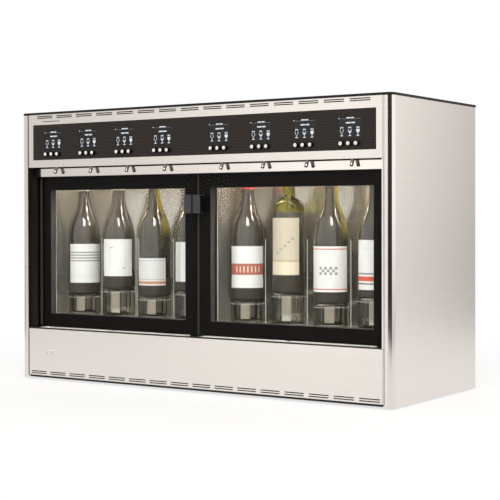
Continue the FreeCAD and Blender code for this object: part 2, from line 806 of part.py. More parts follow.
def control_panel():
    """Black panel that fills the fascia's window, with screen windows and button holes."""
    half = window_half - panel_fit
    boss = box(-half, half, panel_front, front + sheet, window_bottom + panel_fit,
               window_top - panel_fit)
    plate = box(-window_half - panel_rim, window_half + panel_rim, front + sheet, panel_back,
                window_bottom - panel_rim, window_top + panel_rim)
    panel = joined([boss, plate])
    cuts = []
    for x in station_x:
        cuts.append(box(x - screen_width / 2, x + screen_width / 2, panel_front - 1, panel_back + 1,
                        screen_z, screen_z + screen_height))
    for _, _, x in button_places():
        cuts.append(rod_y(x, button_z, panel_front - 1, panel_back + 1,
                          button_radius + running_clearance))
    save("control_panel", [panel.cut(cuts)])


def display_board():
    """Circuit board with eight display modules and a switch behind every button."""
    half = station_x[-1] + screen_width / 2 + board_margin
    board = box(-half, half, board_front, board_front + board_thickness,
                window_bottom - panel_rim, window_top)
    switches = [box(x - switch_size / 2, x + switch_size / 2, board_front - switch_height,
                    board_front, button_z - switch_size / 2, button_z + switch_size / 2)
                for _, _, x in button_places()]
    standoff_z = window_top - panel_rim
    standoffs = [rod_y((a + b) / 2, standoff_z, panel_back, board_front, standoff_radius)
                 for a, b in zip(station_x, station_x[1:])]
    solids = [joined([board] + switches + standoffs)]
    for x in station_x:
        half_screen = screen_width / 2 - screen_fit
        solids.append(box(x - half_screen, x + half_screen, panel_front + panel_fit, board_front,
                          screen_z + screen_fit, screen_z + screen_height - screen_fit))
    save("display_board", solids)


def pour_buttons():
    """Twenty-four pour buttons: small, medium and large measure at each station."""
    flange_front = panel_back + button_rest_gap
    stem_end = board_front - switch_height - button_rest_gap - button_travel
    for number, size, x in button_places():
        cap = rod_y(x, button_z, panel_front - button_proud, flange_front, button_radius)
        cap = cap.makeChamfer(button_edge, [e for e in cap.Edges
                                    if e.BoundBox.YMax < panel_front - button_proud + 0.01])
        flange = rod_y(x, button_z, flange_front, flange_front + button_flange,
                       button_radius + button_flange_margin)
        stem = rod_y(x, button_z, flange_front + button_flange, stem_end, button_stem_radius)
        save("pour_button_%d_%s" % (number, size), [joined([cap, flange, stem])])


# ---------------------------------------------------------------- doors
def door(side, word):
    """Glazed door: a full glass front, the black frame behind it and its latch block."""
    x0, x1, z0, z1 = aperture[side]
    inner = door_inner_x[side]
    glass = mirrored_box(side, inner, door_outer_x, door_front, frame_front,
                         door_bottom, door_top)
    frame = mirrored_box(side, inner, door_outer_x, frame_front, door_back,
                         door_bottom, door_top)
    rear_edge = edges_along(frame, Vector(0, 0, 1),
                            lambda p: abs(p.x) > door_outer_x - 1 and p.y > door_back - 1)
    frame = frame.makeFillet(frame_rear_round, rear_edge)
    frame = frame.cut(mirrored_box(side, x0, x1, frame_front - 1, door_back + 1, z0, z1))
    bore = pin_radius + running_clearance
    frame = frame.cut([post(side * pivot_x, pivot_y, door_bottom - 1,
                            door_bottom + pin_engagement + 1, bore),
                       post(side * pivot_x, pivot_y, door_top - pin_engagement - 1,
                            door_top + 1, bore)])
    low = latch_centre - latch_height / 2
    edge = side * meeting_x + latch_edge
    latch = mirrored_box(side, edge, edge + latch_width, door_front - latch_depth,
                         door_front, low, low + latch_height)
    rims = edges_along(latch, Vector(0, 0, 1), lambda p: p.y < door_front - 1)
    latch = latch.makeFillet(latch_round, rims)
    save(word + "_door_glass", [glass])
    save(word + "_door_frame", [frame])
    save(word + "_door_latch", [latch])


# ---------------------------------------------------------------- equipment inside
def inlet_place():
    """Middle of the mains inlet on the rear cover."""
    return supply_x, pan_top + supply_size[2] / 2


def power_supply():
    """Supply box on the base pan, with the mains inlet that reaches through the rear cover."""
    wide, deep, tall = supply_size
    x, z = inlet_place()
    y1 = back - sheet - rear_post_depth
    case = box(x - wide / 2, x + wide / 2, y1 - deep, y1, pan_top, pan_top + tall)
    inlet = box(x - inlet_size[0] / 2, x + inlet_size[0] / 2, y1, back + inlet_proud,
                z - inlet_size[1] / 2, z + inlet_size[1] / 2)
    pocket = box(x - inlet_pocket[0] / 2, x + inlet_pocket[0] / 2,
                 back + inlet_proud - inlet_pocket[2], back + inlet_proud + 1,
                 z - inlet_pocket[1] / 2, z + inlet_pocket[1] / 2)
    inlet = inlet.cut(pocket)
    thin, tall_blade = blade_section[0] / 2, blade_section[1] / 2
    blades = [box(x + k * blade_pitch - thin, x + k * blade_pitch + thin,
                  back + inlet_proud - inlet_pocket[2], back + inlet_proud - inlet_pocket[2] / 2,
                  z - tall_blade, z + tall_blade) for k in (-1, 0, 1)]
    save("power_supply", [joined([case, inlet] + blades)])


def cooling_unit():
    """Sealed compressor, finned condenser, evaporator plate on the liner and their pipes."""
    wide, deep, tall = evaporator_size
    plate_z = (floor_height + ceiling) / 2
    plate = box(-wide / 2, wide / 2, liner_back, liner_back + deep, plate_z - tall / 2,
                plate_z + tall / 2)
    y = back - sheet - rear_post_depth - compressor_radius
    can = post(compressor_x, y, pan_top, pan_top + compressor_height, compressor_radius)
    rims = [e for e in can.Edges if e.BoundBox.ZMin > pan_top + compressor_height - 0.01]
    can = can.makeFillet(compressor_radius / 2, rims)
    wide_c, deep_c, tall_c = condenser_size
    y1 = back - sheet - rear_post_depth
    base = box(-wide_c / 2, wide_c / 2, y1 - deep_c, y1, pan_top, pan_top + condenser_base)
    half_tube = condenser_tube / 2
    tube_y = y1 - deep_c / 2
    tubes = [box(-wide_c / 2, wide_c / 2, tube_y - half_tube, tube_y + half_tube,
                 pan_top + share * tall_c - half_tube, pan_top + share * tall_c + half_tube)
             for share in condenser_levels]
    fins = []
    for k in range(condenser_fins):
        x = -wide_c / 2 + k * (wide_c - condenser_fin_thickness) / (condenser_fins - 1)
        fins.append(box(x, x + condenser_fin_thickness, y1 - deep_c, y1, pan_top, pan_top + tall_c))
    condenser = joined([base] + tubes + fins)
    feed_z = pan_top + condenser_levels[0] * tall_c
    feed = Part.makeCylinder(pipe_radius, compressor_x - wide_c / 2,
                             Vector(wide_c / 2, y, feed_z), Vector(1, 0, 0))
    feed = feed.cut(post(compressor_x, y, pan_top, pan_top + compressor_height,
                         compressor_radius))
    feed = joined([feed, Part.makeCylinder(pipe_radius, tube_y - y + pipe_radius,
                                           Vector(wide_c / 2 + pipe_radius, y - pipe_radius, feed_z),
                                           Vector(0, 1, 0))])
    riser_x = -wide / 4
    riser_y = liner_back + deep / 2 + pipe_radius + deep / 2
    riser = post(riser_x, riser_y, pan_top, plate_z, pipe_radius)
    save("cooling_unit", [plate, can, condenser, feed, riser])


# ---------------------------------------------------------------- build everything
def build():
    os.makedirs("parts", exist_ok=True)
    main_frame()
    feet()
    door_hinge_pins()
    side_panel("left_side_panel", -1)
    side_panel("right_side_panel", 1)
    top_cover()
    front_fascia()
    spout_rail()
    lower_front_panel()
    drip_trays()
    power_button()
    rear_cover()
    compartment_liner()
    bay_dividers()
    light_bars()
    for number, (x, kind) in enumerate(zip(station_x, bottle_kinds), 1):
        bottle_lift(number, x, kind)
    lift_actuators()
    dispensing_heads()
    spouts()
    control_panel()
    display_board()
    pour_buttons()
    door(-1, "left")
    door(1, "right")
    power_supply()
    cooling_unit()


build()
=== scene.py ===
# %% [markdown]
# # A wine dispenser, dressed piece by piece
# The machine keeps eight opened bottles cool and under gas, and pours a measure when a button is
# pressed. Its solids are already built to size and packed as a frame. This lesson keeps that frame
# as it is, gives every surface a finish, and models the pieces whose looks matter most: the
# bottles, their clear pedestals, the labels, the displays, the buttons and the glazed doors.

# %% Load the frame
import math

import bmesh
import bpy
from mathutils import Matrix, Vector
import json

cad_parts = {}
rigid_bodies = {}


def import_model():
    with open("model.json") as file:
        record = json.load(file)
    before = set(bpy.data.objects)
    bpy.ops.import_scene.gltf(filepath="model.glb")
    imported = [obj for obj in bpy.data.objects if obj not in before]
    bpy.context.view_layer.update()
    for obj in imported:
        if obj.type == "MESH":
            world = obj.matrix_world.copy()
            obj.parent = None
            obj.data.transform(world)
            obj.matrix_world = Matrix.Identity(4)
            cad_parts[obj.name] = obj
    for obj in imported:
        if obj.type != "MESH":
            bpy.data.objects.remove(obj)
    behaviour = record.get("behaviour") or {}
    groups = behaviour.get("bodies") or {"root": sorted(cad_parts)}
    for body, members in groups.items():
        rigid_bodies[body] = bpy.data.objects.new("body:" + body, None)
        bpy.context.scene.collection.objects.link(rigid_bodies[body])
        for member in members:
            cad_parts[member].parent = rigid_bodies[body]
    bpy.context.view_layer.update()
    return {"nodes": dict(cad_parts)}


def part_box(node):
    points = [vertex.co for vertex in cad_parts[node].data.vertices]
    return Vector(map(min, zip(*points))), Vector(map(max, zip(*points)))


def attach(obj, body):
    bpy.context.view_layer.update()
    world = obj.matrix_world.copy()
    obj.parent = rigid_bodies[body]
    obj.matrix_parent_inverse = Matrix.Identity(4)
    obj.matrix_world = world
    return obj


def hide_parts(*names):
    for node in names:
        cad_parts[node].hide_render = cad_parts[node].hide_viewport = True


for leftover in list(bpy.data.objects):
    bpy.data.objects.remove(leftover)
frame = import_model()
nodes = frame["nodes"]

# %% [markdown]
# ## Sizes that the pieces share
# A piece has to sit exactly on what carries it. So its place is read from the frame's own boxes
# instead of being typed again: if the frame changes, the pieces follow. Sizes are in metres, and
# a small helper lets us write millimetres, which are easier to read.

# %% Measure the frame
MM = 0.001
stations = range(1, 9)
low_high = {n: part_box("bottle_lift_%d" % n) for n in stations}
station_x = {n: (low.x + high.x) / 2 for n, (low, high) in low_high.items()}
bottle_y = (low_high[1][0].y + low_high[1][1].y) / 2
mouth_z = low_high[1][1].z
fascia_low, fascia_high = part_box("front_fascia")
panel_low, panel_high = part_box("control_panel")
print("stations at", [round(x, 4) for x in station_x.values()], "mouths at", round(mouth_z, 4))

# %% [markdown]
# ## Tools for shaping
# Three small helpers do most of the work. The first turns an outline about an upright line, as a
# lathe does, which suits bottles, pedestals and buttons. The second makes a block with rounded
# edges: no real edge is perfectly sharp, and the thin highlight along it is what makes a block
# look like metal or plastic. The third ends every piece the same way.

# %% Shaping helpers
def lathe(outline, steps=48, rounds=()):
    """Spin an outline of (radius, height) points about Z. rounds gives the corners to round before
    the spin, as (index, offset in metres)."""
    bm = bmesh.new()
    points = [bm.verts.new((r, 0, z)) for r, z in outline]
    for a, b in zip(points, points[1:]):
        bm.edges.new((a, b))
    for index, offset in rounds:
        bmesh.ops.bevel(bm, geom=[points[index]], offset=offset, offset_type="OFFSET", segments=6,
                        profile=0.5, affect="VERTICES", material=-1)
    bmesh.ops.spin(bm, geom=bm.verts[:] + bm.edges[:], cent=(0, 0, 0), axis=(0, 0, 1),
                   angle=2 * math.pi, steps=steps, use_merge=True)
    bmesh.ops.remove_doubles(bm, verts=bm.verts, dist=1e-6)
    bmesh.ops.recalc_face_normals(bm, faces=bm.faces)
    return bm


def block(low, high, edge=0.0004, segments=2):
    """A box between two corners with rounded edges."""
    bm = bmesh.new()
    bmesh.ops.create_cube(bm, size=1.0)
    low, high = Vector(low), Vector(high)
    bmesh.ops.scale(bm, vec=high - low, verts=bm.verts)
    bmesh.ops.translate(bm, vec=(low + high) / 2, verts=bm.verts)
    if edge:
        bmesh.ops.bevel(bm, geom=bm.edges[:], offset=edge, segments=segments, profile=0.5,
                        affect="EDGES", clamp_overlap=True, material=-1)
    return bm


def add(bm, other):
    """Put the faces of another bmesh into bm."""
    mesh = bpy.data.meshes.new("part")
    other.to_mesh(mesh)
    other.free()
    bm.from_mesh(mesh)
    bpy.data.meshes.remove(mesh)
    return bm


print("shapes can be turned and cut")

# %% Ending a piece
SHARP = math.radians(32)                # edges that turn further than this stay sharp


def even(obj):
    """Let the big faces decide the shading, so that flat faces stay flat beside round edges."""
    weigh = obj.modifiers.new("even_shading", "WEIGHTED_NORMAL")
    weigh.keep_sharp = True
    weigh.weight = 100
    return obj


def piece(bm, name, material, body):
    """Finish a bmesh: shade it smooth up to sharp edges, give it its material and its body."""
    for face in bm.faces:
        face.smooth = True
    for edge in bm.edges:
        edge.smooth = len(edge.link_faces) == 2 and edge.calc_face_angle(0) < SHARP
    mesh = bpy.data.meshes.new(name)
    bm.to_mesh(mesh)
    bm.free()
    obj = bpy.data.objects.new(name, mesh)
    bpy.context.scene.collection.objects.link(obj)
    for one in material if isinstance(material, list) else [material]:
        mesh.materials.append(one)
    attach(obj, body)
    return obj


print("edges stay sharp past", round(math.degrees(SHARP)), "degrees")

# %% [markdown]
# ## Finishes
# Every finish is a Principled shader with a pattern behind it. Brushed steel is a stretched
# noise: long along the brushing, very fine across it. The numbers that are the same all over a
# surface are typed into the shader's own sockets, and only what varies comes through nodes.

# %% Shaders and nodes
def finish(name, colour, roughness, metallic=0.0, **sockets):
    """A new Principled finish. Further sockets are named with _ for each space."""
    material = bpy.data.materials.new(name)
    material.use_nodes = True
    shader = shader_of(material)
    shader.inputs["Base Color"].default_value = (*colour, 1)
    shader.inputs["Roughness"].default_value = roughness
    shader.inputs["Metallic"].default_value = metallic
    for key, value in sockets.items():
        shader.inputs[key.replace("_", " ")].default_value = value
    return material


def shader_of(material):
    return material.node_tree.nodes["Principled BSDF"]


def node(material, kind, **inputs):
    """A new node in a material, or in the world. Inputs are named like a finish's sockets."""
    new = material.node_tree.nodes.new("ShaderNode" + kind)
    for key, value in inputs.items():
        new.inputs[key.replace("_", " ")].default_value = value
    return new


def wire(material, source, target):
    material.node_tree.links.new(source, target)


def maths(material, kind, first, second=0.0):
    """One step of arithmetic. Each side is a number or another node's output."""
    step = node(material, "Math")
    step.operation = kind
    for side, value in enumerate((first, second)):
        if isinstance(value, float):
            step.inputs[side].default_value = value
        else:
            wire(material, value, step.inputs[side])
    return step.outputs[0]


print("shaders and nodes can be made")


# %% Grain
def object_axes(material):
    """The three coordinates of a spot on the piece."""
    place = node(material, "TexCoord")
    axes = node(material, "SeparateXYZ")
    wire(material, place.outputs["Object"], axes.inputs[0])
    return axes.outputs


def object_grain(material, scale, detail=4.0, roughness=0.6):
    """Noise on the piece's own coordinates, stretched by scale. Returns its value."""
    place = node(material, "TexCoord")
    stretch = node(material, "Mapping", Scale=scale)
    grain = node(material, "TexNoise", Scale=1.0, Detail=detail, Roughness=roughness)
    wire(material, place.outputs["Object"], stretch.inputs["Vector"])
    wire(material, stretch.outputs["Vector"], grain.inputs["Vector"])
    return grain.outputs["Fac"]


def remap(material, value, low, high, start=0.3, end=0.7):
    """Spread a grain value between two numbers."""
    spread = node(material, "MapRange")
    for key, number in zip(("From Min", "From Max", "To Min", "To Max"), (start, end, low, high)):
        spread.inputs[key].default_value = number
    wire(material, value, spread.inputs["Value"])
    return spread.outputs["Result"]


def blend_colours(material, value, dark, pale, below=None):
    """Mix two colours by a value; below is a socket that takes the first colour's place."""
    ramp = node(material, "Mix")
    ramp.data_type = "RGBA"
    ramp.inputs[6].default_value = (*dark, 1)
    ramp.inputs[7].default_value = (*pale, 1)
    wire(material, value, ramp.inputs[0])
    if below:
        wire(material, below, ramp.inputs[6])
    return ramp.outputs[2]


print("grain can be made and spread")


# %% Into the shader
def feed(material, value, socket):
    wire(material, value, shader_of(material).inputs[socket])


def bump(material, value, depth):
    relief = node(material, "Bump", Distance=depth, Strength=1.0)
    wire(material, value, relief.inputs["Height"])
    feed(material, relief.outputs["Normal"], "Normal")


def grained(name, colour, roughness, scale, glossy, dull, metallic=0.0, **sockets):
    """A finish whose roughness wavers with a grain between two values."""
    material = finish(name, colour, roughness, metallic, **sockets)
    feed(material, remap(material, object_grain(material, scale), glossy, dull), "Roughness")
    return material


def stretch_gloss(material, amount):
    """Draw highlights out up and down, as level strokes in the metal do."""
    shader_of(material).inputs["Anisotropic"].default_value = amount
    upright = node(material, "CombineXYZ", X=0.02, Y=0.03, Z=1.0)
    feed(material, upright.outputs[0], "Tangent")


print("finish helpers ready")

# %% [markdown]
# ### Metals
# The outside is fine brushed stainless steel: the strokes run level, round all sides. The strip
# under the fascia and the spouts are polished. The inside of the compartments is bright sheet
# that has been rolled: it mirrors what stands before it, in long upright streaks.

# %% Metal finishes
def brushed(name, colour, roughness, stroke, shade=0.05, depth=0.00002):
    """Steel with strokes along the directions where stroke is small."""
    steel = finish(name, colour, roughness, 1.0)
    fine = object_grain(steel, stroke, detail=6.0, roughness=0.7)
    broad = object_grain(steel, tuple(s * 0.05 for s in stroke), detail=3.0)
    feed(steel, remap(steel, fine, roughness * 0.88, roughness * 1.16), "Roughness")
    darker = tuple(c * (1 - shade) for c in colour)
    feed(steel, blend_colours(steel, remap(steel, broad, 0.0, 1.0), darker, colour), "Base Color")
    bump(steel, fine, depth)
    return steel


brushed_steel = brushed("brushed_stainless", (0.77, 0.73, 0.69), 0.25, (9.0, 9.0, 1500.0), 0.02,
                        0.0000008)
stretch_gloss(brushed_steel, 0.8)
corner_steel = brushed("drawn_corner_stainless", (0.74, 0.70, 0.655), 0.13, (9.0, 9.0, 1500.0),
                       0.02, 0.0000008)
rear_steel = brushed("rear_sheet_steel", (0.50, 0.49, 0.47), 0.42, (900.0, 9.0, 9.0))
SMEAR = (30.0, 30.0, 400.0)
polished_steel = grained("polished_stainless", (0.78, 0.74, 0.70), 0.10, SMEAR, 0.06, 0.16, 1.0)
rail_steel = grained("rail_stainless", (0.66, 0.63, 0.595), 0.10, SMEAR, 0.06, 0.16, 1.0)
spout_steel = grained("bent_tube_steel", (0.36, 0.33, 0.29), 0.15, (200.0, 200.0, 200.0),
                      0.10, 0.20, 1.0)
SATIN = 0.35                            # share of bare metal in a blasted, matt steel
tray_steel = brushed("matt_tray_steel", (0.88, 0.86, 0.82), 0.58, (9.0, 900.0, 900.0))
shader_of(tray_steel).inputs["Metallic"].default_value = SATIN
bare_aluminium = brushed("machined_aluminium", (0.62, 0.62, 0.62), 0.38, (700.0, 700.0, 40.0))
print("outside metals ready")

# %% Liner finish
liner_steel = finish("bright_liner_sheet", (0.60, 0.555, 0.49), 0.30, 0.74)
stretch_gloss(liner_steel, 0.97)
strokes = object_grain(liner_steel, (9.0, 9.0, 2600.0), detail=2.0)
clouds = object_grain(liner_steel, (12.0, 12.0, 5.0), detail=1.0)
feed(liner_steel, remap(liner_steel, strokes, 0.15, 0.20), "Roughness")
feed(liner_steel, blend_colours(liner_steel, remap(liner_steel, clouds, 0.0, 1.0),
                                (0.55, 0.505, 0.44), (0.62, 0.575, 0.51)), "Base Color")
bump(liner_steel, strokes, 0.00005)
print("liner sheet ready")

# %% [markdown]
# ### Blacks
# Several blacks meet on the front, and they differ in gloss more than in colour: a powder-coated
# frame with a slight orange peel, black anodised door frames, a control panel ruled with fine
# level lines, and satin plastic latch blocks.

# %% Black finishes
def coated(name, colour, roughness, peel=700.0, depth=0.00001, shine=0.3):
    coat = finish(name, colour, roughness, Specular_IOR_Level=shine)
    grain = object_grain(coat, (peel, peel, peel), detail=2.0)
    feed(coat, remap(coat, grain, roughness - 0.05, roughness + 0.07), "Roughness")
    feed(coat, blend_colours(coat, remap(coat, grain, 0.0, 1.0),
                             tuple(c * 0.8 for c in colour), colour), "Base Color")
    bump(coat, grain, depth)
    return coat


black_coat = coated("black_powder_coat", (0.010, 0.0085, 0.007), 0.38)
FRAME_BLACK = (0.004, 0.003, 0.0025)
black_anodised = coated("black_anodised_frame", FRAME_BLACK, 0.55, 300.0, 0.0000005, 0.05)
cover_black = coated("black_top_plate", (0.012, 0.011, 0.010), 0.45, 900.0, shine=0.2)
latch_plastic = coated("satin_grey_plastic", (0.050, 0.050, 0.055), 0.38, 1200.0)
# Black for the button sleeves and the latch sides: painted shade.
shade_black = coated("matt_black_painted_shade", (0.006, 0.006, 0.005), 0.5, 500.0, shine=0.08)
rubber_and_shade_black = coated("foot_rubber", (0.022, 0.022, 0.022), 0.75, 500.0, 0.0001)
unit_black = coated("black_enamel", (0.02, 0.02, 0.022), 0.28, 300.0)

ruled_black = finish("ruled_black_panel", (0.014, 0.010, 0.008), 0.30, Specular_IOR_Level=0.22)
place = node(ruled_black, "TexCoord")
lines = node(ruled_black, "TexWave", Scale=95.0, Distortion=0.0)
lines.bands_direction = "Z"
wire(ruled_black, place.outputs["Object"], lines.inputs["Vector"])
feed(ruled_black, blend_colours(ruled_black, lines.outputs["Fac"], (0.010, 0.0075, 0.006),
                                (0.030, 0.023, 0.018)), "Base Color")
feed(ruled_black, remap(ruled_black, lines.outputs["Fac"], 0.22, 0.42, 0.0, 1.0), "Roughness")
bump(ruled_black, lines.outputs["Fac"], 0.00006)
# The door frame's front lies behind the glass and is black; its other faces are a dark bronze.
PANE_BACK = (-0.1699, -0.1697)
behind = remap(black_anodised, object_axes(black_anodised)["Y"], 0.0, 1.0, *PANE_BACK)
feed(black_anodised, blend_colours(black_anodised, behind, FRAME_BLACK, (0.060, 0.053, 0.045)),
     "Base Color")
print("blacks ready")

# %% [markdown]
# ### Clear materials
# Door glass, clear acrylic and bottle glass bend light. A lamp can't find its way through a
# bending surface, so the compartments would be dark. The trick here: a ray that only asks
# whether a lamp is in reach (a shadow ray) meets a plain tinted film instead of glass.

# %% Clear finishes
def clear(name, tint, roughness, ior, film):
    """Glass that lets lamps through."""
    glass = finish(name, tint, roughness, Transmission_Weight=1.0, IOR=ior)
    grain = object_grain(glass, (60.0, 60.0, 60.0))
    feed(glass, remap(glass, grain, roughness * 0.5, roughness * 1.5), "Roughness")
    path = node(glass, "LightPath")
    veil = node(glass, "BsdfTransparent", Color=(*film, 1))
    choose = node(glass, "MixShader")
    tree = glass.node_tree
    wire(glass, path.outputs["Is Shadow Ray"], choose.inputs[0])
    wire(glass, shader_of(glass).outputs[0], choose.inputs[1])
    wire(glass, veil.outputs[0], choose.inputs[2])
    wire(glass, choose.outputs[0], tree.nodes["Material Output"].inputs["Surface"])
    return glass


door_glass = clear("float_glass", (0.97, 0.985, 0.975), 0.01, 1.12, (0.86, 0.88, 0.87))
acrylic = clear("clear_acrylic", (0.88, 0.85, 0.80), 0.02, 1.25, (0.70, 0.68, 0.65))
plate_acrylic = clear("clear_plate", (0.96, 0.95, 0.93), 0.02, 1.2, (0.88, 0.88, 0.87))
print("clear finishes ready")

# %% [markdown]
# ### Light, floor and camera
# The room is white and soft, but dark straight before the machine, which keeps its black glass
# black. A large soft lamp hangs high at the front right; the short highlights on the shoulders
# of the bottles are this lamp, seen in the curve of the glass. The backdrop and the floor are
# white to the eye, and the floor still takes the shadow.

# %% Camera
camera_data = bpy.data.cameras.new("camera")
camera = bpy.data.objects.new("camera", camera_data)
bpy.context.scene.collection.objects.link(camera)
bpy.context.scene.camera = camera
camera.location = (1.804179, -2.662025, 0.404607)
camera.rotation_euler = (math.radians(89.37), math.radians(0.12), math.radians(33.718))
camera_data.sensor_width = 36.0
camera_data.sensor_fit = "HORIZONTAL"
camera_data.lens = 95.947
camera_data.shift_y = -0.0398
camera_data.clip_end = 60.0
print("camera at", tuple(camera.location))

# %% Room
scene = bpy.context.scene
scene.view_settings.view_transform = "Standard"
world = bpy.data.worlds.new("white_room")
scene.world = world
world.use_nodes = True
sky = world.node_tree.nodes["Background"]
seen = node(world, "LightPath")
backdrop = node(world, "Background", Color=(1, 1, 1, 1))
swap = node(world, "MixShader")
wire(world, maths(world, "MAXIMUM", seen.outputs["Is Camera Ray"],
                  seen.outputs["Is Transmission Ray"]), swap.inputs[0])
wire(world, sky.outputs[0], swap.inputs[1])
wire(world, backdrop.outputs[0], swap.inputs[2])
wire(world, swap.outputs[0], world.node_tree.nodes["World Output"].inputs["Surface"])
print("backdrop white to the camera and through glass")

# %% The room's glow
# By compass direction, in degrees from straight before the machine towards its right, each with
# its share of white. At eye level the glow is a ring: dark straight ahead, brighter than white in
# a band at the front left and along the right, and white behind, with one dim band. Above the
# ring is an even ceiling, and below the horizon the glow is halved.
GLOW_RING = ((-180, 1.0), (-110, 1.0), (-60, 0.9), (-46, 0.86), (-43, 0.93), (-38, 1.08),
             (-33, 1.45), (-26, 1.78), (-23, 0.04), (58, 0.04), (66, 1.4), (130, 1.3),
             (150, 1.45), (153, 1.3), (156, 0.66), (159, 0.35), (168, 0.35), (180, 1.0))
CEILING = 1.0
RING_TOP, CEILING_FROM = 0.28, 0.50     # sines of the height angle


def around_room(stops):
    """A value for each compass direction, as a ramp."""
    ramp = node(world, "ValToRGB")
    for k, (angle, share) in enumerate(stops):
        spot = (angle + 180) / 360
        if k == 0:
            stop = ramp.color_ramp.elements[0]
        elif k == len(stops) - 1:
            stop = ramp.color_ramp.elements[len(stops) - 1]
        else:
            stop = ramp.color_ramp.elements.new(spot)
        stop.position = spot
        stop.color = (share, share, share, 1)
    return ramp


direction = node(world, "TexCoord")
split = node(world, "SeparateXYZ")
wire(world, direction.outputs["Generated"], split.inputs[0])
compass = maths(world, "ARCTAN2", split.outputs["X"],
                maths(world, "MULTIPLY", split.outputs["Y"], -1.0))
around = around_room(GLOW_RING)
wire(world, remap(world, compass, 0.0, 1.0, -math.pi, math.pi), around.inputs[0])
overhead = node(world, "Mix", B=CEILING)
wire(world, remap(world, split.outputs["Z"], 0.0, 1.0, RING_TOP, CEILING_FROM),
     overhead.inputs["Factor"])
wire(world, around.outputs["Color"], overhead.inputs["A"])
wire(world, maths(world, "MULTIPLY", overhead.outputs["Result"],
                  remap(world, split.outputs["Z"], 0.5, 1.0, -0.10, 0.0)), sky.inputs["Strength"])
sky.inputs["Color"].default_value = (1.0, 0.975, 0.955, 1)
print("glow laid round the room in", len(GLOW_RING), "stops")


# %% Lamp
def soft_lamp(name, place, aim, width, tall, power, colour=(1.0, 0.97, 0.93)):
    """A rectangular soft lamp that faces a point."""
    data = bpy.data.lights.new(name, "AREA")
    data.shape = "RECTANGLE"
    data.size, data.size_y, data.energy, data.color = width, tall, power, colour
    lamp = bpy.data.objects.new(name, data)
    bpy.context.scene.collection.objects.link(lamp)
    lamp.location = place
    lamp.rotation_euler = (Vector(aim) - Vector(place)).to_track_quat("-Z", "Y").to_euler()
    return lamp


soft_lamp("high_lamp", (1.72, -2.58, 3.05), (0.0, -0.1, 0.40), 1.35, 2.0, 92)
print("lamp hung")

# %% Floor
floor_white = grained("pale_floor", (0.80, 0.79, 0.78), 0.7, (3.0, 3.0, 3.0), 0.65, 0.78)
shown = node(floor_white, "LightPath")
seen_rays = maths(floor_white, "MAXIMUM", shown.outputs["Is Camera Ray"],
                  maths(floor_white, "MAXIMUM", shown.outputs["Is Glossy Ray"],
                        shown.outputs["Is Transmission Ray"]))
spot = node(floor_white, "TexCoord")
reach = node(floor_white, "VectorMath")
reach.operation = "LENGTH"
wire(floor_white, spot.outputs["Object"], reach.inputs[0])
# Near the machine a share of the shaded floor stays, and with it the shadow. Further out the
# floor is plain white.
NEAR_WHITE, NEAR, FAR = 0.72, 0.55, 1.5
away = remap(floor_white, reach.outputs["Value"], NEAR_WHITE, 1.0, NEAR, FAR)
glow = node(floor_white, "Emission", Strength=1.0)
lit = node(floor_white, "MixShader")
wire(floor_white, maths(floor_white, "MULTIPLY", seen_rays, away), lit.inputs[0])
wire(floor_white, shader_of(floor_white).outputs[0], lit.inputs[1])
wire(floor_white, glow.outputs[0], lit.inputs[2])
wire(floor_white, lit.outputs[0], floor_white.node_tree.nodes["Material Output"].inputs["Surface"])
bm = bmesh.new()
bmesh.ops.create_circle(bm, cap_ends=True, segments=64, radius=1.75)
mesh = bpy.data.meshes.new("floor")
bm.to_mesh(mesh)
bm.free()
floor = bpy.data.objects.new("floor", mesh)
scene.collection.objects.link(floor)
mesh.materials.append(floor_white)
print("floor ready")

# %% [markdown]
# ## The body
# The sheet-metal body keeps the frame's own solids: their vents, slots and folds are already
# right. They only change material. A node's materials are swapped in its slots, and its mesh is
# never touched.

# %% Dress the frame's own nodes
def dress(name, material):
    mesh = nodes[name].data
    mesh.materials.clear()
    mesh.materials.append(material)


for name, material in (
        ("front_fascia", brushed_steel), ("lower_front_panel", brushed_steel),
        ("drip_trays", tray_steel), ("spout_rail", rail_steel), ("spouts", spout_steel),
        ("rear_cover", rear_steel), ("main_frame", black_coat), ("feet", rubber_and_shade_black),
        ("door_hinge_pins", black_coat), ("compartment_liner", liner_steel),
        ("lift_actuators", bare_aluminium), ("dispensing_heads", bare_aluminium),
        ("control_panel", ruled_black), ("power_supply", bare_aluminium),
        ("cooling_unit", unit_black), ("left_door_frame", black_anodised),
        ("right_door_frame", black_anodised)):
    dress(name, material)
print("frame nodes dressed")

# %% [markdown]
# ### Side panels
# Each side is one sheet, folded to a narrow flange at the front with a round corner, and folded
# again at the rear. Here the fold is drawn as a line on the floor, its front corner is rounded,
# the line is pulled up into a sheet, and Solidify gives the sheet its thickness. The folding tool
# has rubbed the round corner smoother than the rest, so its faces take a second finish.

# %% Side panels
SHEET = 1.5 * MM
CORNER_RADIUS = 12 * MM
SQUARE_ON = 0.9995                      # a face whose normal has more than this along an axis


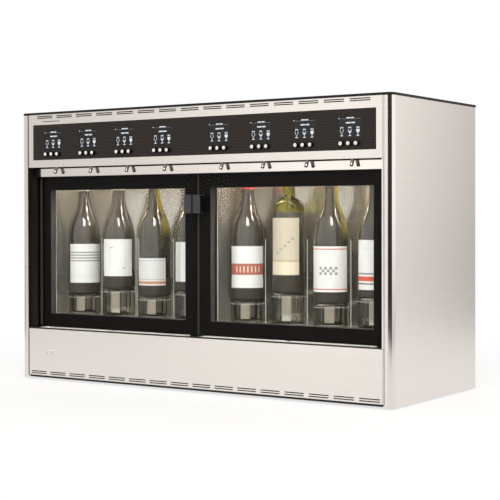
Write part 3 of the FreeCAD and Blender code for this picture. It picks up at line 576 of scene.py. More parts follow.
def side_panel(name, word):
    low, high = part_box(name)
    inner, outer = (high.x, low.x) if word == "left" else (low.x, high.x)
    bm = bmesh.new()
    plan = [bm.verts.new((x, y, low.z)) for x, y in
            ((inner, low.y), (outer, low.y), (outer, high.y), (inner, high.y))]
    for a, b in zip(plan, plan[1:]):
        bm.edges.new((a, b))
    bmesh.ops.bevel(bm, geom=[plan[1]], offset=CORNER_RADIUS, segments=14, profile=0.5,
                    affect="VERTICES", material=-1)
    grown = bmesh.ops.extrude_edge_only(bm, edges=bm.edges[:])
    up = [v for v in grown["geom"] if isinstance(v, bmesh.types.BMVert)]
    bmesh.ops.translate(bm, vec=(0, 0, high.z - low.z), verts=up)
    bmesh.ops.recalc_face_normals(bm, faces=bm.faces)
    wall = max(bm.faces, key=lambda f: f.calc_area())
    if wall.normal.x * outer < 0:
        bmesh.ops.reverse_faces(bm, faces=bm.faces)
    for face in bm.faces:
        turned = max(abs(face.normal.x), abs(face.normal.y)) < SQUARE_ON
        face.material_index = 1 if turned else 0
    panel = piece(bm, "side_sheet_" + word, [brushed_steel, corner_steel], "cabinet")
    thicken = panel.modifiers.new("thickness", "SOLIDIFY")
    thicken.thickness = SHEET
    thicken.offset = -1
    soften = panel.modifiers.new("edges", "BEVEL")
    soften.width = 0.3 * MM
    soften.segments = 2
    soften.limit_method = "ANGLE"
    soften.angle_limit = math.radians(50)
    even(panel)
    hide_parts(name)
    return panel


for word in ("left", "right"):
    panel = side_panel(word + "_side_panel", word)
    print(panel.name, [round(d, 4) for d in panel.dimensions])

# %% [markdown]
# ### Edge strips
# A narrow folded strip stands at each side between the panels and the side sheets, and a fine
# groove parts it from the side sheet. At the right it runs on beside the door and is a little wider
# there. A black strip fills the gap between the lower panel and the trays: painted shade, for the
# shadow in that gap.

# %% Edge strips
lower_low, lower_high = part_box("lower_front_panel")
bm = bmesh.new()
for side, near, far, z0, z1 in (
        (-1, 496.4, 497.4, lower_low.z, lower_high.z),
        (-1, 496.4, 497.4, fascia_low.z, fascia_high.z),
        (1, 496.4, 498.8, lower_low.z, lower_high.z),
        (1, 494.0, 499.0, lower_high.z + 0.5 * MM, fascia_low.z - 0.5 * MM),
        (1, 496.4, 499.5, fascia_low.z, fascia_high.z)):
    ends = sorted((side * near * MM, side * far * MM))
    add(bm, block((ends[0], fascia_low.y + 0.1 * MM, z0), (ends[1], fascia_low.y + 2.0 * MM, z1),
                  0.3 * MM))
edge_strips = piece(bm, "edge_strips", brushed_steel, "cabinet")
even(edge_strips)
# A black strip in the gap under the trays: painted shade.
bm = block((-496 * MM, fascia_low.y + 0.2 * MM, lower_high.z + 0.1 * MM),
           (496 * MM, fascia_low.y + 0.7 * MM, lower_high.z + 3.6 * MM), 0.1 * MM)
piece(bm, "ledge_shade_strip", rubber_and_shade_black, "cabinet")
print("edge strips at both sides and a seal under the trays")

# %% [markdown]
# ### Top cover
# A black plate lies on the panels and stands one millimetre proud of them all round. Its front
# corners follow the panels' round corners, and its upper rim is rolled over.

# %% Top cover
COVER_CORNER, RIM_ROLL = 14.5 * MM, 1.2 * MM
low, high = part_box("top_cover")
bm = block(low, high, edge=0)
front_corners = [e for e in bm.edges if abs(e.verts[0].co.z - e.verts[1].co.z) > 1e-4
                 and e.verts[0].co.y < 0]
bmesh.ops.bevel(bm, geom=front_corners, offset=COVER_CORNER, segments=12, profile=0.5,
                affect="EDGES", material=-1)
rim = [e for e in bm.edges if min(v.co.z for v in e.verts) > high.z - 1e-5
       and len(e.link_faces) == 2 and e.calc_face_angle(0) > 1.0]
bmesh.ops.bevel(bm, geom=rim, offset=RIM_ROLL, segments=3, profile=0.5, affect="EDGES",
                material=-1)
cover = piece(bm, "top_plate", cover_black, "cabinet")
even(cover)
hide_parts("top_cover")
print("top plate", [round(d, 4) for d in cover.dimensions])

# %% [markdown]
# ## Bottles
# Seven of the bottles have the sloping shoulders of a Burgundy bottle, and one has the high
# shoulders of a Bordeaux. A bottle is a line turned about its axis: foot, wall, shoulder, neck
# and the ring at the mouth. The shoulder is two arcs, which come from rounding the two corners
# of a straight slope. Behind the label each wall is cut in two rings, so that the foot, with
# its thick glass and its sediment, can take a duller finish of its own.

# %% Bottle glass
def bottle_glass(name, heart, edge, start=0.35, roughness=0.05, lit=None):
    """Dark wine seen through dark glass: nearly black in the middle, and the glass's own colour
    where the line of sight runs along the wall. Towards the foot the colour darkens: painted shade.
    When lit is given, a strip down the side of the shoulder is painted in that lighter colour:
    painted light from the next bay."""
    glass = finish(name, heart, roughness, IOR=1.5)
    height = object_axes(glass)["Z"]
    rim = node(glass, "LayerWeight", Blend=0.35)
    swirl = object_grain(glass, (25.0, 25.0, 8.0))
    # Darker towards the foot: painted shade.
    depth = blend_colours(glass, remap(glass, height, 0.0, 1.0, 0.22, 0.44),
                          tuple(c * 0.30 for c in heart), heart)
    tone = blend_colours(glass, remap(glass, rim.outputs["Facing"], 0.0, 1.0, start, 0.95),
                         heart, edge, depth)
    feed(glass, tone, "Base Color")
    feed(glass, remap(glass, swirl, roughness * 0.7, roughness * 1.4), "Roughness")
    bump(glass, swirl, 0.00008)
    for key, number in (("Coat Weight", 0.5), ("Coat Roughness", 0.02), ("Coat IOR", 1.85)):
        shader_of(glass).inputs[key].default_value = number
    # A lighter strip on the shoulder's right side: painted light from the next bay.
    if lit:
        place = node(glass, "TexCoord")
        turn = node(glass, "SeparateXYZ")
        wire(glass, place.outputs["Normal"], turn.inputs[0])
        painted_glow_band = maths(glass, "MULTIPLY", remap(glass, turn.outputs["X"], 0.0, 1.0, 0.86, 0.97),
                     remap(glass, height, 0.0, 1.0, 0.35, 0.41))
        feed(glass, blend_colours(glass, painted_glow_band, (0, 0, 0), lit, tone), "Base Color")
    return glass


green_glass = bottle_glass("dark_green_glass", (0.062, 0.051, 0.038), (0.13, 0.110, 0.072))
# The olive bottles get the painted light strip on the shoulder.
olive_glass = bottle_glass("olive_glass", (0.060, 0.051, 0.034), (0.46, 0.40, 0.06), 0.50,
                           lit=(0.42, 0.33, 0.03))
foot_glass = grained("dull_bottle_foot", (0.048, 0.039, 0.029), 0.35, (30.0, 30.0, 12.0),
                     0.3, 0.45, IOR=1.3)
clear_green = clear("light_green_glass", (0.50, 0.46, 0.07), 0.02, 1.45, (0.5, 0.5, 0.2))
wine_red = grained("red_wine", (0.030, 0.008, 0.008), 0.08, (40.0, 40.0, 40.0), 0.05, 0.12)
print("bottle glass ready")

# %% Bottle shapes
# height, body radius, shoulder start, shoulder length, share of the shoulder that bulges out
BURGUNDY_TALL = (313.0, 40.5, 143.0, 107.0, 0.50)
BURGUNDY_SHORT = (297.0, 40.0, 127.0, 107.0, 0.50)
BORDEAUX = (293.0, 37.0, 190.0, 36.0, 0.62)
NECK, RING, RING_HEIGHT = 14.5, 15.2, 26.0
shapes = {1: BURGUNDY_TALL, 2: BURGUNDY_SHORT, 3: BURGUNDY_TALL, 4: BURGUNDY_SHORT,
          5: BURGUNDY_TALL, 6: BORDEAUX, 7: BURGUNDY_TALL, 8: BURGUNDY_SHORT}


def bottle_outline(shape):
    """Outline and the corners to round, in metres above the bottle's foot."""
    height, radius, start, length, bulge = shape
    turn = 2 * math.atan((radius - NECK) / length)
    total = length / math.sin(turn)
    out = bulge * total * math.tan(turn / 2)
    back = (1 - bulge) * total * math.tan(turn / 2)
    outline = [(0.0, 12.0), (radius - 16, 3.0), (radius - 9, 0.0), (radius, 0.0),
               (radius, start + out), (NECK, start + length - back), (NECK, height - RING_HEIGHT),
               (RING, height - RING_HEIGHT), (RING, height - RING_HEIGHT + 7), (NECK, height - 18),
               (NECK, height), (NECK - 5, height)]
    rounds = [(3, 5.0), (4, out * 0.999), (5, back * 0.999), (1, 4.0)]
    return ([(r * MM, z * MM) for r, z in outline], [(i, d * MM) for i, d in rounds])


def bottle_radius(shape, z):
    """Radius in millimetres at a height above the foot."""
    height, radius, start, length, bulge = shape
    turn = 2 * math.atan((radius - NECK) / length)
    total = length / math.sin(turn)
    big, small = bulge * total, (1 - bulge) * total
    if z <= start:
        return radius
    if z >= start + length:
        return NECK
    if z < start + big * math.sin(turn):
        return radius - big + math.sqrt(big ** 2 - (z - start) ** 2)
    return NECK + small - math.sqrt(small ** 2 - (start + length - z) ** 2)


def foot_of(number):
    return mouth_z - shapes[number][0] * MM


def at_station(bm, number, height=0.0):
    """Move a shape from the origin to a bottle's axis."""
    bmesh.ops.translate(bm, vec=(station_x[number], bottle_y, height), verts=bm.verts)


print("feet stand at", [round(foot_of(n), 3) for n in stations])

# %% Bottles
glass_of = {1: green_glass, 2: green_glass, 3: olive_glass, 4: olive_glass, 5: green_glass,
            6: green_glass, 7: olive_glass, 8: olive_glass}
WINE_LEVEL = 183.0                      # of the Bordeaux bottle, above its foot
FOOT_LEVEL = 46.0                       # behind every label, above the bottle's foot
for number in stations:
    outline, rounds = bottle_outline(shapes[number])
    bm = lathe(outline, steps=64, rounds=rounds)
    at_station(bm, number, foot_of(number))
    materials = [glass_of[number], foot_glass, clear_green]
    foot, level = foot_of(number) + FOOT_LEVEL * MM, foot_of(number) + WINE_LEVEL * MM
    for z in (foot, level) if number == 6 else (foot,):
        bmesh.ops.bisect_plane(bm, geom=bm.verts[:] + bm.edges[:] + bm.faces[:], dist=1e-6,
                               plane_co=(0, 0, z), plane_no=(0, 0, 1))
    for face in bm.faces:
        z = face.calc_center_median().z
        if z < foot:
            face.material_index = 1
        elif number == 6 and z > level:
            face.material_index = 2
    bottle = piece(bm, "bottle_%d" % number, materials, "bottle_lift_%d" % number)
    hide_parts("bottle_lift_%d" % number)
print("eight bottles standing")

# %% [markdown]
# ### The wine's surface
# The Bordeaux bottle is partly empty: its shoulders are clear green glass, and a dark disc shows
# where the wine ends.

# %% Wine level
bm = lathe([(0.0, -2 * MM), (bottle_radius(BORDEAUX, WINE_LEVEL) * MM - 2.2 * MM, -2 * MM),
            (bottle_radius(BORDEAUX, WINE_LEVEL) * MM - 1.8 * MM, 0.0), (0.0, 0.0)], steps=48)
at_station(bm, 6, foot_of(6) + WINE_LEVEL * MM - 0.3 * MM)
piece(bm, "wine_surface_6", wine_red, "bottle_lift_6")
print("wine level at", round(foot_of(6) + WINE_LEVEL * MM, 4))

# %% [markdown]
# ### Capsules
# A thin foil sleeve closes round the neck and leaves the mouth free for the stopper. It is a
# short turned shell, a little larger than the neck, with a rolled lower edge and fine creases.

# %% Capsules
def foil(name, colour, metallic=0.6):
    sleeve = finish(name, colour, 0.32, metallic)
    crease = object_grain(sleeve, (240.0, 240.0, 30.0))
    feed(sleeve, remap(sleeve, crease, 0.24, 0.45), "Roughness")
    bump(sleeve, crease, 0.0003)
    return sleeve


foils = {1: foil("silver_foil", (0.70, 0.68, 0.64)), 2: foil("white_foil", (0.80, 0.78, 0.74), 0.2),
         3: foil("black_foil", (0.03, 0.03, 0.03)), 4: foil("gold_foil", (0.55, 0.45, 0.20)),
         5: foil("red_foil", (0.50, 0.07, 0.05), 0.3),
         6: foil("rose_foil", (0.50, 0.30, 0.27), 0.5),
         7: foil("dark_foil", (0.04, 0.035, 0.03)), 8: foil("grey_foil", (0.20, 0.19, 0.17))}
CAPSULE_LENGTH = {1: 55, 2: 54, 3: 50, 4: 50, 5: 57, 6: 53, 7: 50, 8: 50}
for number in stations:
    length = CAPSULE_LENGTH[number] * MM
    r = (NECK + 0.25) * MM
    swell = (RING + 0.25) * MM
    ring = RING_HEIGHT * MM
    bm = lathe([(r - 0.1 * MM, 0), (r + 0.25 * MM, 0.3 * MM), (r, 1.2 * MM), (r, length - ring),
                (swell, length - ring), (swell, length - ring + 7 * MM), (r, length - 17 * MM),
                (r, length)], steps=48)
    at_station(bm, number, mouth_z - length)
    piece(bm, "capsule_%d" % number, foils[number], "bottle_lift_%d" % number)
print("capsules on")

# %% [markdown]
# ### Labels
# A label is paper glued round the wall. It is drawn flat, in millimetres, cut into narrow upright
# strips so that it can bend, and then wrapped: the distance along the paper becomes an angle.
# The prints are stripes and rows of small plain shapes, cut from thin sheets laid just above the
# paper. Paper has fibres, so its finish has a very fine grain.

# %% Paper and ink
def paper(name, colour, roughness=0.62):
    sheet = finish(name, colour, roughness)
    fibre = object_grain(sheet, (900.0, 900.0, 900.0), detail=3.0)
    feed(sheet, blend_colours(sheet, remap(sheet, fibre, 0.0, 1.0),
                              tuple(c * 0.94 for c in colour), colour), "Base Color")
    bump(sheet, fibre, 0.00004)
    return sheet


inks = {"white": paper("white_paper", (0.75, 0.74, 0.725)),
        "soft": paper("soft_white_paper", (0.63, 0.625, 0.605)),
        "cream": paper("cream_paper", (0.56, 0.485, 0.37)),
        "grey": paper("grey_ink", (0.30, 0.29, 0.27)),
        "pale": paper("pale_grey_ink", (0.60, 0.61, 0.60)),
        "black": paper("black_ink", (0.03, 0.03, 0.03)),
        "terracotta": paper("terracotta_ink", (0.42, 0.12, 0.08)),
        "rust": paper("rust_ink", (0.50, 0.22, 0.11)),
        "red": paper("red_ink", (0.62, 0.09, 0.04)),
        "blue": paper("blue_ink", (0.16, 0.24, 0.38)),
        "sand": paper("sand_ink", (0.72, 0.62, 0.46))}
print("paper and inks:", sorted(inks))


# %% Cutting and wrapping
def wrap(bm, radius, middle):
    """Bend a flat sheet in X and Z round an upright cylinder; middle is the angle of x = 0."""
    for vert in bm.verts:
        angle = vert.co.x / radius + middle
        reach = radius + vert.co.y
        vert.co = (reach * math.sin(angle), -reach * math.cos(angle), vert.co.z)


def outward(bm, axis):
    """Turn every face away from an upright axis."""
    for face in bm.faces:
        face.normal_update()
        out = face.calc_center_median() - axis
        if face.normal.x * out.x + face.normal.y * out.y < 0:
            face.normal_flip()


def strips(bm, pitch=3.0 * MM):
    """Cut a flat sheet into upright strips."""
    low = min(v.co.x for v in bm.verts)
    high = max(v.co.x for v in bm.verts)
    x = low + pitch
    while x < high - pitch / 4:
        bmesh.ops.bisect_plane(bm, geom=bm.verts[:] + bm.edges[:] + bm.faces[:], dist=1e-7,
                               plane_co=(x, 0, 0), plane_no=(1, 0, 0))
        x += pitch


print("sheets can be cut and wrapped")


# %% Flat sheets
def disc(x, z, radius, sides=12):
    """A flat round sheet about a middle, in millimetres."""
    bm = bmesh.new()
    bmesh.ops.create_circle(bm, cap_ends=True, segments=sides, radius=radius * MM,
                            matrix=Matrix.Translation((x * MM, 0, z * MM))
                            @ Matrix.Rotation(math.radians(90), 4, "X"))
    return bm


def bar(x0, x1, z0, z1):
    """A flat oblong sheet between two edges and two heights, in millimetres."""
    bm = bmesh.new()
    bm.faces.new([bm.verts.new((x * MM, 0, z * MM))
                  for x, z in ((x0, z0), (x1, z0), (x1, z1), (x0, z1))])
    return bm


def rule(x0, x1, z, thick):
    """A level line: a bar given by its middle height."""
    return bar(x0, x1, z - thick / 2, z + thick / 2)


print("flat sheets can be cut")


# %% Glueing
LAYER = 0.12                            # millimetres from one print to the next


def label(number, angles, sheets):
    """Glue sheets of (ink, layer, flat bmesh) on a bottle, between two angles in degrees."""
    radius = (shapes[number][1] + 0.15) * MM
    middle = math.radians(sum(angles) / 2)
    names = []
    bm = bmesh.new()
    for ink, layer, sheet in sheets:
        if ink not in names:
            names.append(ink)
        strips(sheet)
        bmesh.ops.translate(sheet, vec=(0, layer * LAYER * MM, 0), verts=sheet.verts)
        for face in sheet.faces:
            face.material_index = names.index(ink)
        add(bm, sheet)
    wrap(bm, radius, middle)
    at_station(bm, number)
    outward(bm, Vector((station_x[number], bottle_y, 0)))
    return piece(bm, "label_%d" % number, [inks[n] for n in names], "bottle_lift_%d" % number)


def half_width(number, angles):
    """Half the paper's width in millimetres."""
    return math.radians(angles[1] - angles[0]) / 2 * shapes[number][1]


print("labels can be glued")

# %% [markdown]
# Each label below gives the angles that it covers, counted from the machine's front towards its
# right side, and its heights above the table, so that labels face slightly different ways, as
# bottles set down by hand do. Every paper is a plain rectangle, and the prints are stripes,
# dots, checks, brackets and steps, a different one for each bottle.

# %% Print helpers
def row_of(count, first, step, shape):
    """The same small shape several times, side by side; shape takes the middle in x."""
    return [shape(first + k * step) for k in range(count)]


def printed(ink, layer, shapes_cut):
    """Give one ink and one layer to several sheets."""
    return [(ink, layer, sheet) for sheet in shapes_cut]


print("prints can be laid out")

# %% Labels, left compartment
turns = {1: (-20, 114), 2: (-27, 92), 3: (-34, 78), 4: (-37, 83),
         5: (-34, 93), 6: (-46, 71), 7: (-49, 88), 8: (-42, 78)}
w = half_width(1, turns[1])
label(1, turns[1], [("white", 0, bar(-w, w, 237, 334))]
      + printed("grey", 1, [rule(-w, w, 292 + 7 * k, 3.2) for k in range(4)])
      + printed("pale", 1, row_of(9, -32, 8, lambda x: disc(x, 254, 1.8))))
w = half_width(2, turns[2])
label(2, turns[2], [("white", 0, bar(-w, w, 256, 347))]
      + printed("pale", 1, [bar(-20, -18, 276, 326), bar(20, 22, 276, 326)])
      + printed("grey", 1, [rule(-20, -10, 326, 2.0), rule(12, 22, 276, 2.0)]))
w = half_width(3, turns[3])
label(3, turns[3], [("soft", 0, bar(-w, w, 236, 302))]
      + printed("rust", 1, [bar(-w, w, 240, 246)])
      + printed("blue", 1, [rule(-w, w, 251, 1.0), rule(-w, w, 296, 1.0)])
      + printed("pale", 1, row_of(6, -20, 9, lambda x: bar(x - 2, x + 2, 270, 274))))
w = half_width(4, turns[4])
label(4, turns[4], [("white", 0, bar(-w, w, 248, 342))]
      + printed("grey", 1, [bar(-w + 6 * k, -w + 6 * k + 2.4, 248, 342) for k in range(1, 4)])
      + printed("pale", 1, [rule(-6, w - 8, 256, 2.0)]))
print("four labels on the left")

# %% Labels, right compartment
w = half_width(5, turns[5])
label(5, turns[5], [("white", 0, bar(-w, w, 238, 334))]
      + printed("terracotta", 1, [bar(-w, w, 268, 294)])
      + printed("sand", 2, row_of(7, -24, 9, lambda x: bar(x - 1.5, x + 1.5, 274, 288))))
w = half_width(6, turns[6])
label(6, turns[6], [("cream", 0, bar(-w, w, 270, 399))]
      + printed("sand", 1, [bar(-w, w, 270, 300)])
      + printed("rust", 1, [rule(-w, w, 302, 1.4)])
      + printed("grey", 1, [bar(-18 + 9 * k, -11 + 9 * k, 318 + 8 * k, 322 + 8 * k)
                            for k in range(5)]))
w = half_width(7, turns[7])
label(7, turns[7], [("white", 0, bar(-w, w, 235, 336))]
      + printed("red", 1, [rule(-w, w, 330, 2.2), rule(-w, w, 241, 2.2)])
      + printed("grey", 1, [bar(x - 3, x + 3, z - 3, z + 3)
                            for k, z in enumerate((276, 282, 288))
                            for x in range(-18 + 6 * (k % 2), 19, 12)]))
w = half_width(8, turns[8])
label(8, turns[8], [("white", 0, bar(-w, w, 243, 351))]
      + printed("red", 1, [bar(-w, w, 262, 272)])
      + printed("black", 1, [rule(-w, w, 256, 2.4)])
      + printed("grey", 1, [rule(-w, w, 278, 4.0)])
      + printed("pale", 1, row_of(7, -27, 9, lambda x: disc(x, 332, 2.2))))
print("four labels on the right")

# %% [markdown]
# ## Pedestals
# Each bottle stands on a clear cup, upside down, with a second, smaller ring inside it, and a
# piston rod below. A turned shell of three millimetres of acrylic gives the dark edges of clear
# plastic by itself. The bright rims are thin pale rings laid on it: painted highlights. Four pale
# sheets lie round the inside of the small ring: painted reflections in the clear plastic.

# %% Pedestals
CUP, CUP_WALL, CUP_TOP, CUP_FOOT = 40.0, 3.0, 5.0, 98.0
SMALL_OUTER, SMALL_INNER, SMALL_DEEP = 30, 27, 49
REFLECTION_HALF, REFLECTION_FOOT, REFLECTION_RADIUS, REFLECTION_TURN = 11, 166, 26.6, 19
# Pale sheets inside the cups and pale rings on the rims: painted reflection and painted highlight.
reflection_sheet = grained("painted_reflection_sheet", (0.78, 0.77, 0.76), 0.55, (700.0, 700.0, 700.0), 0.45, 0.6)
rim_highlight = grained("painted_rim_highlight", (0.80, 0.78, 0.75), 0.12, (300.0, 300.0, 300.0),
                      0.08, 0.2)
for number in stations:
    top = foot_of(number)
    low = low_high[number][0]
    base, deep = CUP_FOOT * MM, top - SMALL_DEEP * MM
    bm = lathe([(0.0, top), (CUP * MM, top), (CUP * MM, base), ((CUP - CUP_WALL) * MM, base),
                ((CUP - CUP_WALL) * MM, top - CUP_TOP * MM),
                (SMALL_OUTER * MM, top - CUP_TOP * MM), (SMALL_OUTER * MM, deep),
                (SMALL_INNER * MM, deep), (SMALL_INNER * MM, top - CUP_TOP * MM),
                (0.0, top - CUP_TOP * MM)],
               steps=64, rounds=[(1, 1.2 * MM), (2, 0.6 * MM)])
    at_station(bm, number)
    piece(bm, "pedestal_%d" % number, acrylic, "bottle_lift_%d" % number)
    # Pale rings on the rims: painted highlights.
    bm = bmesh.new()
    for radius, z in ((40.1, top - 9 * MM), (30.1, top - 48.6 * MM), (30.1, top - 6 * MM)):
        add(bm, lathe([(radius * MM, z), ((radius + 0.5) * MM, z + 0.5 * MM),
                       (radius * MM, z + 1.0 * MM)], steps=64))
    at_station(bm, number)
    piece(bm, "pedestal_rims_%d" % number, rim_highlight, "bottle_lift_%d" % number)
    # Four pale sheets round the small ring: painted reflections.
    bm = bmesh.new()
    for quarter in range(4):
        sheet = bar(-REFLECTION_HALF, REFLECTION_HALF, REFLECTION_FOOT, top / MM - 7.5)
        strips(sheet)
        wrap(sheet, REFLECTION_RADIUS * MM, math.radians(REFLECTION_TURN + 90 * quarter))
        add(bm, sheet)
    at_station(bm, number)
    outward(bm, Vector((station_x[number], bottle_y, 0)))
    piece(bm, "pedestal_windows_%d" % number, reflection_sheet, "bottle_lift_%d" % number)
    bm = lathe([(0.0, low.z), (4.4 * MM, low.z), (5 * MM, low.z + 0.6 * MM),
                (5 * MM, top - 5.2 * MM), (0.0, top - 5.2 * MM)], steps=24)
    at_station(bm, number)
    piece(bm, "piston_rod_%d" % number, polished_steel, "bottle_lift_%d" % number)
print("pedestals and rods in")

# %% [markdown]
# ### Dividers, edge trim and light bars
# Clear plates stand between the bottles, and their front edges are pale: painted highlights. The
# sheet's front edge is folded round each opening, and its trim is pale too: a bright line, partly
# the real edge and partly painted highlight. An opal bar under each ceiling lights the compartment
# from above; it is brightest at its diodes, between the bottles.

# %% Dividers
DIVIDER_HALF, DIVIDER_INSET, DIVIDER_BACK = 0.9 * MM, 4.5 * MM, 24 * MM
# The dividers' front faces take a pale colour: painted highlight.
divider_highlight = grained("painted_divider_highlight", (0.42, 0.41, 0.39), 0.3, (900.0, 900.0, 60.0),
                      0.22, 0.42)
low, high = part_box("bay_dividers")
bm = bmesh.new()
for a, b in ((1, 2), (2, 3), (3, 4), (5, 6), (6, 7), (7, 8)):
    x = (station_x[a] + station_x[b]) / 2
    x -= math.copysign(DIVIDER_INSET, x)
    add(bm, block((x - DIVIDER_HALF, low.y + DIVIDER_BACK, low.z),
                  (x + DIVIDER_HALF, high.y, high.z), 0.2 * MM))
for face in bm.faces:
    face.material_index = 1 if face.normal.y < -0.5 else 0
dividers = piece(bm, "clear_dividers", [plate_acrylic, divider_highlight], "cabinet")
even(dividers)
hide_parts("bay_dividers")
print("six dividers in")

# %% Edge trim
# The trim is pale and only a little metal: painted highlight along the opening's edge.
trim_highlight = grained("painted_trim_highlight", (0.74, 0.72, 0.68), 0.4, (600.0, 600.0, 600.0),
                        0.34, 0.46, 0.2)
low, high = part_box("compartment_liner")
FOAM = 12 * MM                          # thickness of the liner's walls
inner, outer = 25 * MM, high.x - FOAM
bottom, top = low.z + FOAM, high.z - FOAM
bm = bmesh.new()
for side in (-1, 1):
    for x in (side * inner, side * outer):
        add(bm, block((x - 1.3 * MM, low.y - 0.8 * MM, bottom),
                      (x + 1.3 * MM, low.y + 0.8 * MM, top), 0.5 * MM))
    ends = sorted((side * inner, side * outer))
    add(bm, block((ends[0], low.y - 0.8 * MM, top - 0.9 * MM),
                  (ends[1], low.y + 0.8 * MM, top + 0.9 * MM), 0.5 * MM))
trim = piece(bm, "compartment_edge_trim", trim_highlight, "cabinet")
even(trim)
print("trim round both openings")

# %% Light bars
opal = grained("opal_diffuser", (0.95, 0.93, 0.88), 0.4, (500.0, 500.0, 500.0), 0.35, 0.5,
               Emission_Color=(1.0, 0.93, 0.82, 1), Emission_Strength=50.0)
pitch = (station_x[8] - station_x[5]) / 3
along = maths(opal, "ABSOLUTE", object_axes(opal)["X"])
along = maths(opal, "SUBTRACT", along, station_x[5] - pitch / 2)
wave = maths(opal, "COSINE", maths(opal, "MULTIPLY", along, 2 * math.pi / pitch))
feed(opal, remap(opal, wave, 12.0, 240.0, 0.35, 0.95), "Emission Strength")
dress("light_bars", opal)
print("light bars lit")

# %% [markdown]
# ## Doors
# Each door is a full pane of glass in front of a black frame, so that the black border is seen
# through the glass and shines. A narrow lighter strip lies along the pane's upright edges: painted
# highlight of the glass edge. A block of satin plastic at the meeting edge is the handle and hides
# the lock; its side faces are black, as painted shade.

# %% Door panes
# Lighter strips along the pane's edges: painted highlight.
pane_edge_highlight = grained("painted_pane_edge_highlight", (0.036, 0.034, 0.031), 0.35, (800.0, 800.0, 800.0),
                      0.3, 0.45)
for word in ("left", "right"):
    low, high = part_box(word + "_door_glass")
    pane = piece(block(low, high, 0.8 * MM), word + "_pane", door_glass, word + "_door")
    even(pane)
    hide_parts(word + "_door_glass")
    bm = bmesh.new()
    widths = ((low.x, 9.0),) if word == "left" else ((low.x, 3.8), (high.x - 3.8 * MM, 3.8))
    for x, wide in widths:
        add(bm, block((x + 0.6 * MM, low.y - 0.12 * MM, low.z + 1 * MM),
                      (x + (wide - 0.6) * MM, low.y - 0.02 * MM, high.z - 1 * MM), 0))
    piece(bm, word + "_pane_edge_highlight", pane_edge_highlight, word + "_door")
    low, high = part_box(word + "_door_latch")
    bm = block(low, high, edge=0)
    outer_edges = [e for e in bm.edges if min(v.co.y for v in e.verts) < low.y + 1e-5]
    bmesh.ops.bevel(bm, geom=outer_edges, offset=1.8 * MM, segments=4, profile=0.5,
                    affect="EDGES", material=-1)
    bm.normal_update()
    # The latch's side faces take black: painted shade.
    for face in bm.faces:
        face.material_index = 1 if abs(face.normal.x) > 0.9 else 0
    latch = piece(bm, word + "_latch", [latch_plastic, shade_black], word + "_door")
    even(latch)
    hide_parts(word + "_door_latch")
print("panes and latches on")

# %% [markdown]
# ### Card slot
# A pale strip lies in the narrow slot at the upper left. Only its front edge is seen, as a bright
# line in the slot.

# %% Card slot
slot_middle = (-421.8 * MM, panel_high.z + 0.4 * MM + 7.7 * MM)
slot_strip = grained("pale_slot_strip", (0.80, 0.79, 0.77), 0.5, (900.0, 900.0, 900.0),
                         0.45, 0.6)
x, z = slot_middle
bm = block((x - 26.5 * MM, fascia_low.y + 0.5 * MM, z - 0.55 * MM),
           (x + 26.5 * MM, fascia_low.y + 5.0 * MM, z + 0.55 * MM), 0.2 * MM)
piece(bm, "card_slot_strip", slot_strip, "cabinet")
print("card slot lined at height", round(slot_middle[1], 4))

# %% [markdown]
# ## Displays and buttons
# Under each display sit three push buttons for a small, a medium and a large measure. A display
# shows plain bars for its lines of text, and three glasses, empty, half full and full. Those
# marks are thin shapes that give their own light.

# %% Display finishes
DOTS = (3000.0, 3000.0, 3000.0)
glow_white = grained("display_white", (0.05, 0.05, 0.05), 0.4, DOTS, 0.3, 0.5,
                     Emission_Color=(0.86, 0.92, 1, 1), Emission_Strength=0.85)
glow_faint = grained("display_grey", (0.03, 0.03, 0.03), 0.4, DOTS, 0.3, 0.5,
                     Emission_Color=(0.80, 0.84, 0.9, 1), Emission_Strength=0.28)
board = finish("display_and_board", (0.01, 0.012, 0.014), 0.12, Specular_IOR_Level=0.2)
SCREEN_FACE = (-0.1930, -0.1929)        # the screens lie before these depths, the board behind
depth = remap(board, object_axes(board)["Y"], 0.0, 1.0, *SCREEN_FACE)
feed(board, blend_colours(board, depth, (0.016, 0.016, 0.015), (0.02, 0.12, 0.05)), "Base Color")
feed(board, remap(board, depth, 0.10, 0.45, 0.0, 1.0), "Roughness")
dress("display_board", board)
screen_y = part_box("display_board")[0].y
SCREEN_LOW = panel_low.z + 6 * MM + 24.8 * MM
print("screens at", round(screen_y, 4), "from", round(SCREEN_LOW, 4))


# %% Marks
def stamp(bm, x0, x1, z0, z1):
    """A thin mark on a screen, in millimetres from the screen's lower middle."""
    add(bm, block((x0 * MM, -0.25 * MM, z0 * MM), (x1 * MM, 0.0, z1 * MM), 0))


def plate(bm, points, deep=0.25):
    """A thin flat mark from its corners in X and Z."""
    flat_mark = bmesh.new()
    face = flat_mark.faces.new([flat_mark.verts.new((x * MM, 0, z * MM)) for x, z in points])
    grown = bmesh.ops.extrude_face_region(flat_mark, geom=[face])
    front_verts = [v for v in grown["geom"] if isinstance(v, bmesh.types.BMVert)]
    bmesh.ops.translate(flat_mark, vec=(0, -deep * MM, 0), verts=front_verts)
    bmesh.ops.recalc_face_normals(flat_mark, faces=flat_mark.faces)
    add(bm, flat_mark)


BOWL = ((-3.7, 19.4), (-4.2, 16.6), (-3.8, 14.2), (-2.4, 12.4), (-0.6, 11.6))
BOWL_FOOT, BOWL_DEEP = 11.6, 7.8


def wine_glass(bm, x, filled):
    """A glass drawn from the side: the bowl's wall, the wine up to a share of it, stem and foot."""
    for side in (-1, 1):
        for (a, b), (c, d) in zip(BOWL, BOWL[1:]):
            plate(bm, [(x + side * a, b), (x + side * c, d), (x + side * (c + 0.9), d),
                       (x + side * (a + 0.9), b)])
    top = BOWL_FOOT + BOWL_DEEP * filled
    wine = [(a + 1.2, b) for a, b in BOWL if b <= top]
    if len(wine) > 1:
        wine = [(wine[0][0], top)] + wine
        plate(bm, [(x + a, b) for a, b in wine] + [(x - a, b) for a, b in reversed(wine)])
    stamp(bm, x - 0.6, x + 0.6, 6.5, 11.8)
    stamp(bm, x - 3.2, x + 3.2, 5.0, 6.5)


print("marks can be cut")

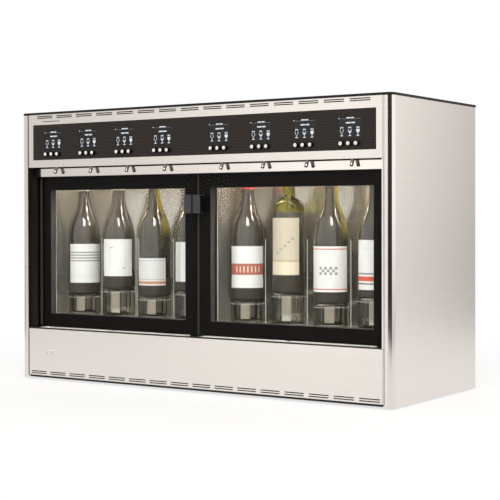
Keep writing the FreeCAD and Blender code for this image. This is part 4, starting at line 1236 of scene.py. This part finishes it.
# %% Displays
marks, faint_marks = bmesh.new(), bmesh.new()
for number in stations:
    white, faint = bmesh.new(), bmesh.new()
    stamp(white, -26.8, -24.9, 41.6, 43.8)
    stamp(faint, -22, 26.5, 41.4, 41.9)
    stamp(white, -7.5, 2.0, 42.3, 44.6)
    stamp(white, 3.2, 10.5, 42.3, 44.6)
    stamp(white, -9, 2.4, 31.6, 34.4)
    stamp(white, 4.2, 13, 31.6, 34.4)
    for x, share_filled in ((-19.0, 0.0), (0.5, 0.5), (20.0, 1.0)):
        wine_glass(white, x, share_filled)
        stamp(white, x - 3.4, x - 0.7, 21.4, 24.2)
        stamp(white, x + 0.7, x + 3.4, 21.4, 24.2)
    for one, target in ((white, marks), (faint, faint_marks)):
        bmesh.ops.translate(one, vec=(station_x[number], screen_y, SCREEN_LOW), verts=one.verts)
        add(target, one)
piece(marks, "display_marks", glow_white, "cabinet")
piece(faint_marks, "display_rules", glow_faint, "cabinet")
print("display marks on")

# %% [markdown]
# A button is a short plunger: a bright steel cap with a turned chamfer on a black sleeve. All of
# them are one turned shape, laid on its side, with a second material on the sleeve: its black is
# painted shade and painted reflection of the dark panel.

# %% Pour buttons
button_steel = brushed("turned_steel", (0.92, 0.91, 0.89), 0.32, (500.0, 60.0, 500.0))
shader_of(button_steel).inputs["Metallic"].default_value = SATIN
QUARTER_TURN = Matrix.Rotation(math.radians(-90), 3, "X")
for number in stations:
    for size in ("small", "medium", "large"):
        name = "pour_button_%d_%s" % (number, size)
        low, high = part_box(name)
        x, z = (low.x + high.x) / 2, (low.z + high.z) / 2
        bm = lathe([(0.0, 0.0), (2.8 * MM, 0.1 * MM), (3.7 * MM, 0.4 * MM), (4.2 * MM, 1.1 * MM),
                    (4.2 * MM, 1.5 * MM), (5.0 * MM, 1.7 * MM), (5.0 * MM, 13.4 * MM),
                    (6.5 * MM, 13.4 * MM), (6.5 * MM, 14.9 * MM), (2.0 * MM, 14.9 * MM),
                    (2.0 * MM, high.y - low.y), (0.0, high.y - low.y)], steps=32)
        # The sleeve's black is painted shade.
        for face in bm.faces:
            face.material_index = 1 if face.calc_center_median().z > 1.2 * MM else 0
        bmesh.ops.rotate(bm, cent=(0, 0, 0), matrix=QUARTER_TURN, verts=bm.verts)
        bmesh.ops.translate(bm, vec=(x, low.y, z), verts=bm.verts)
        button = piece(bm, "button_%d_%s" % (number, size), [button_steel, shade_black], name)
        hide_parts(name)
print("24 pour buttons on")

# %% Power button
low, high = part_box("power_button")
bm = lathe([(0.0, 0.5 * MM), (2.2 * MM, 0.45 * MM), (2.5 * MM, 0.05 * MM), (3.1 * MM, 0.05 * MM),
            (3.4 * MM, 0.3 * MM), (6.6 * MM, 0.3 * MM), (7.2 * MM, 0.0), (7.7 * MM, 0.0),
            (8.0 * MM, 0.3 * MM), (8.0 * MM, 9.8 * MM), (9.5 * MM, 9.8 * MM),
            (9.5 * MM, high.y - low.y), (0.0, high.y - low.y)], steps=40)
bmesh.ops.rotate(bm, cent=(0, 0, 0), matrix=QUARTER_TURN, verts=bm.verts)
bmesh.ops.translate(bm, vec=((low.x + high.x) / 2, low.y, (low.z + high.z) / 2), verts=bm.verts)
power = piece(bm, "power_push", brushed_steel, "power_button")
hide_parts("power_button")
print("power button on")

# %% Finish
import json
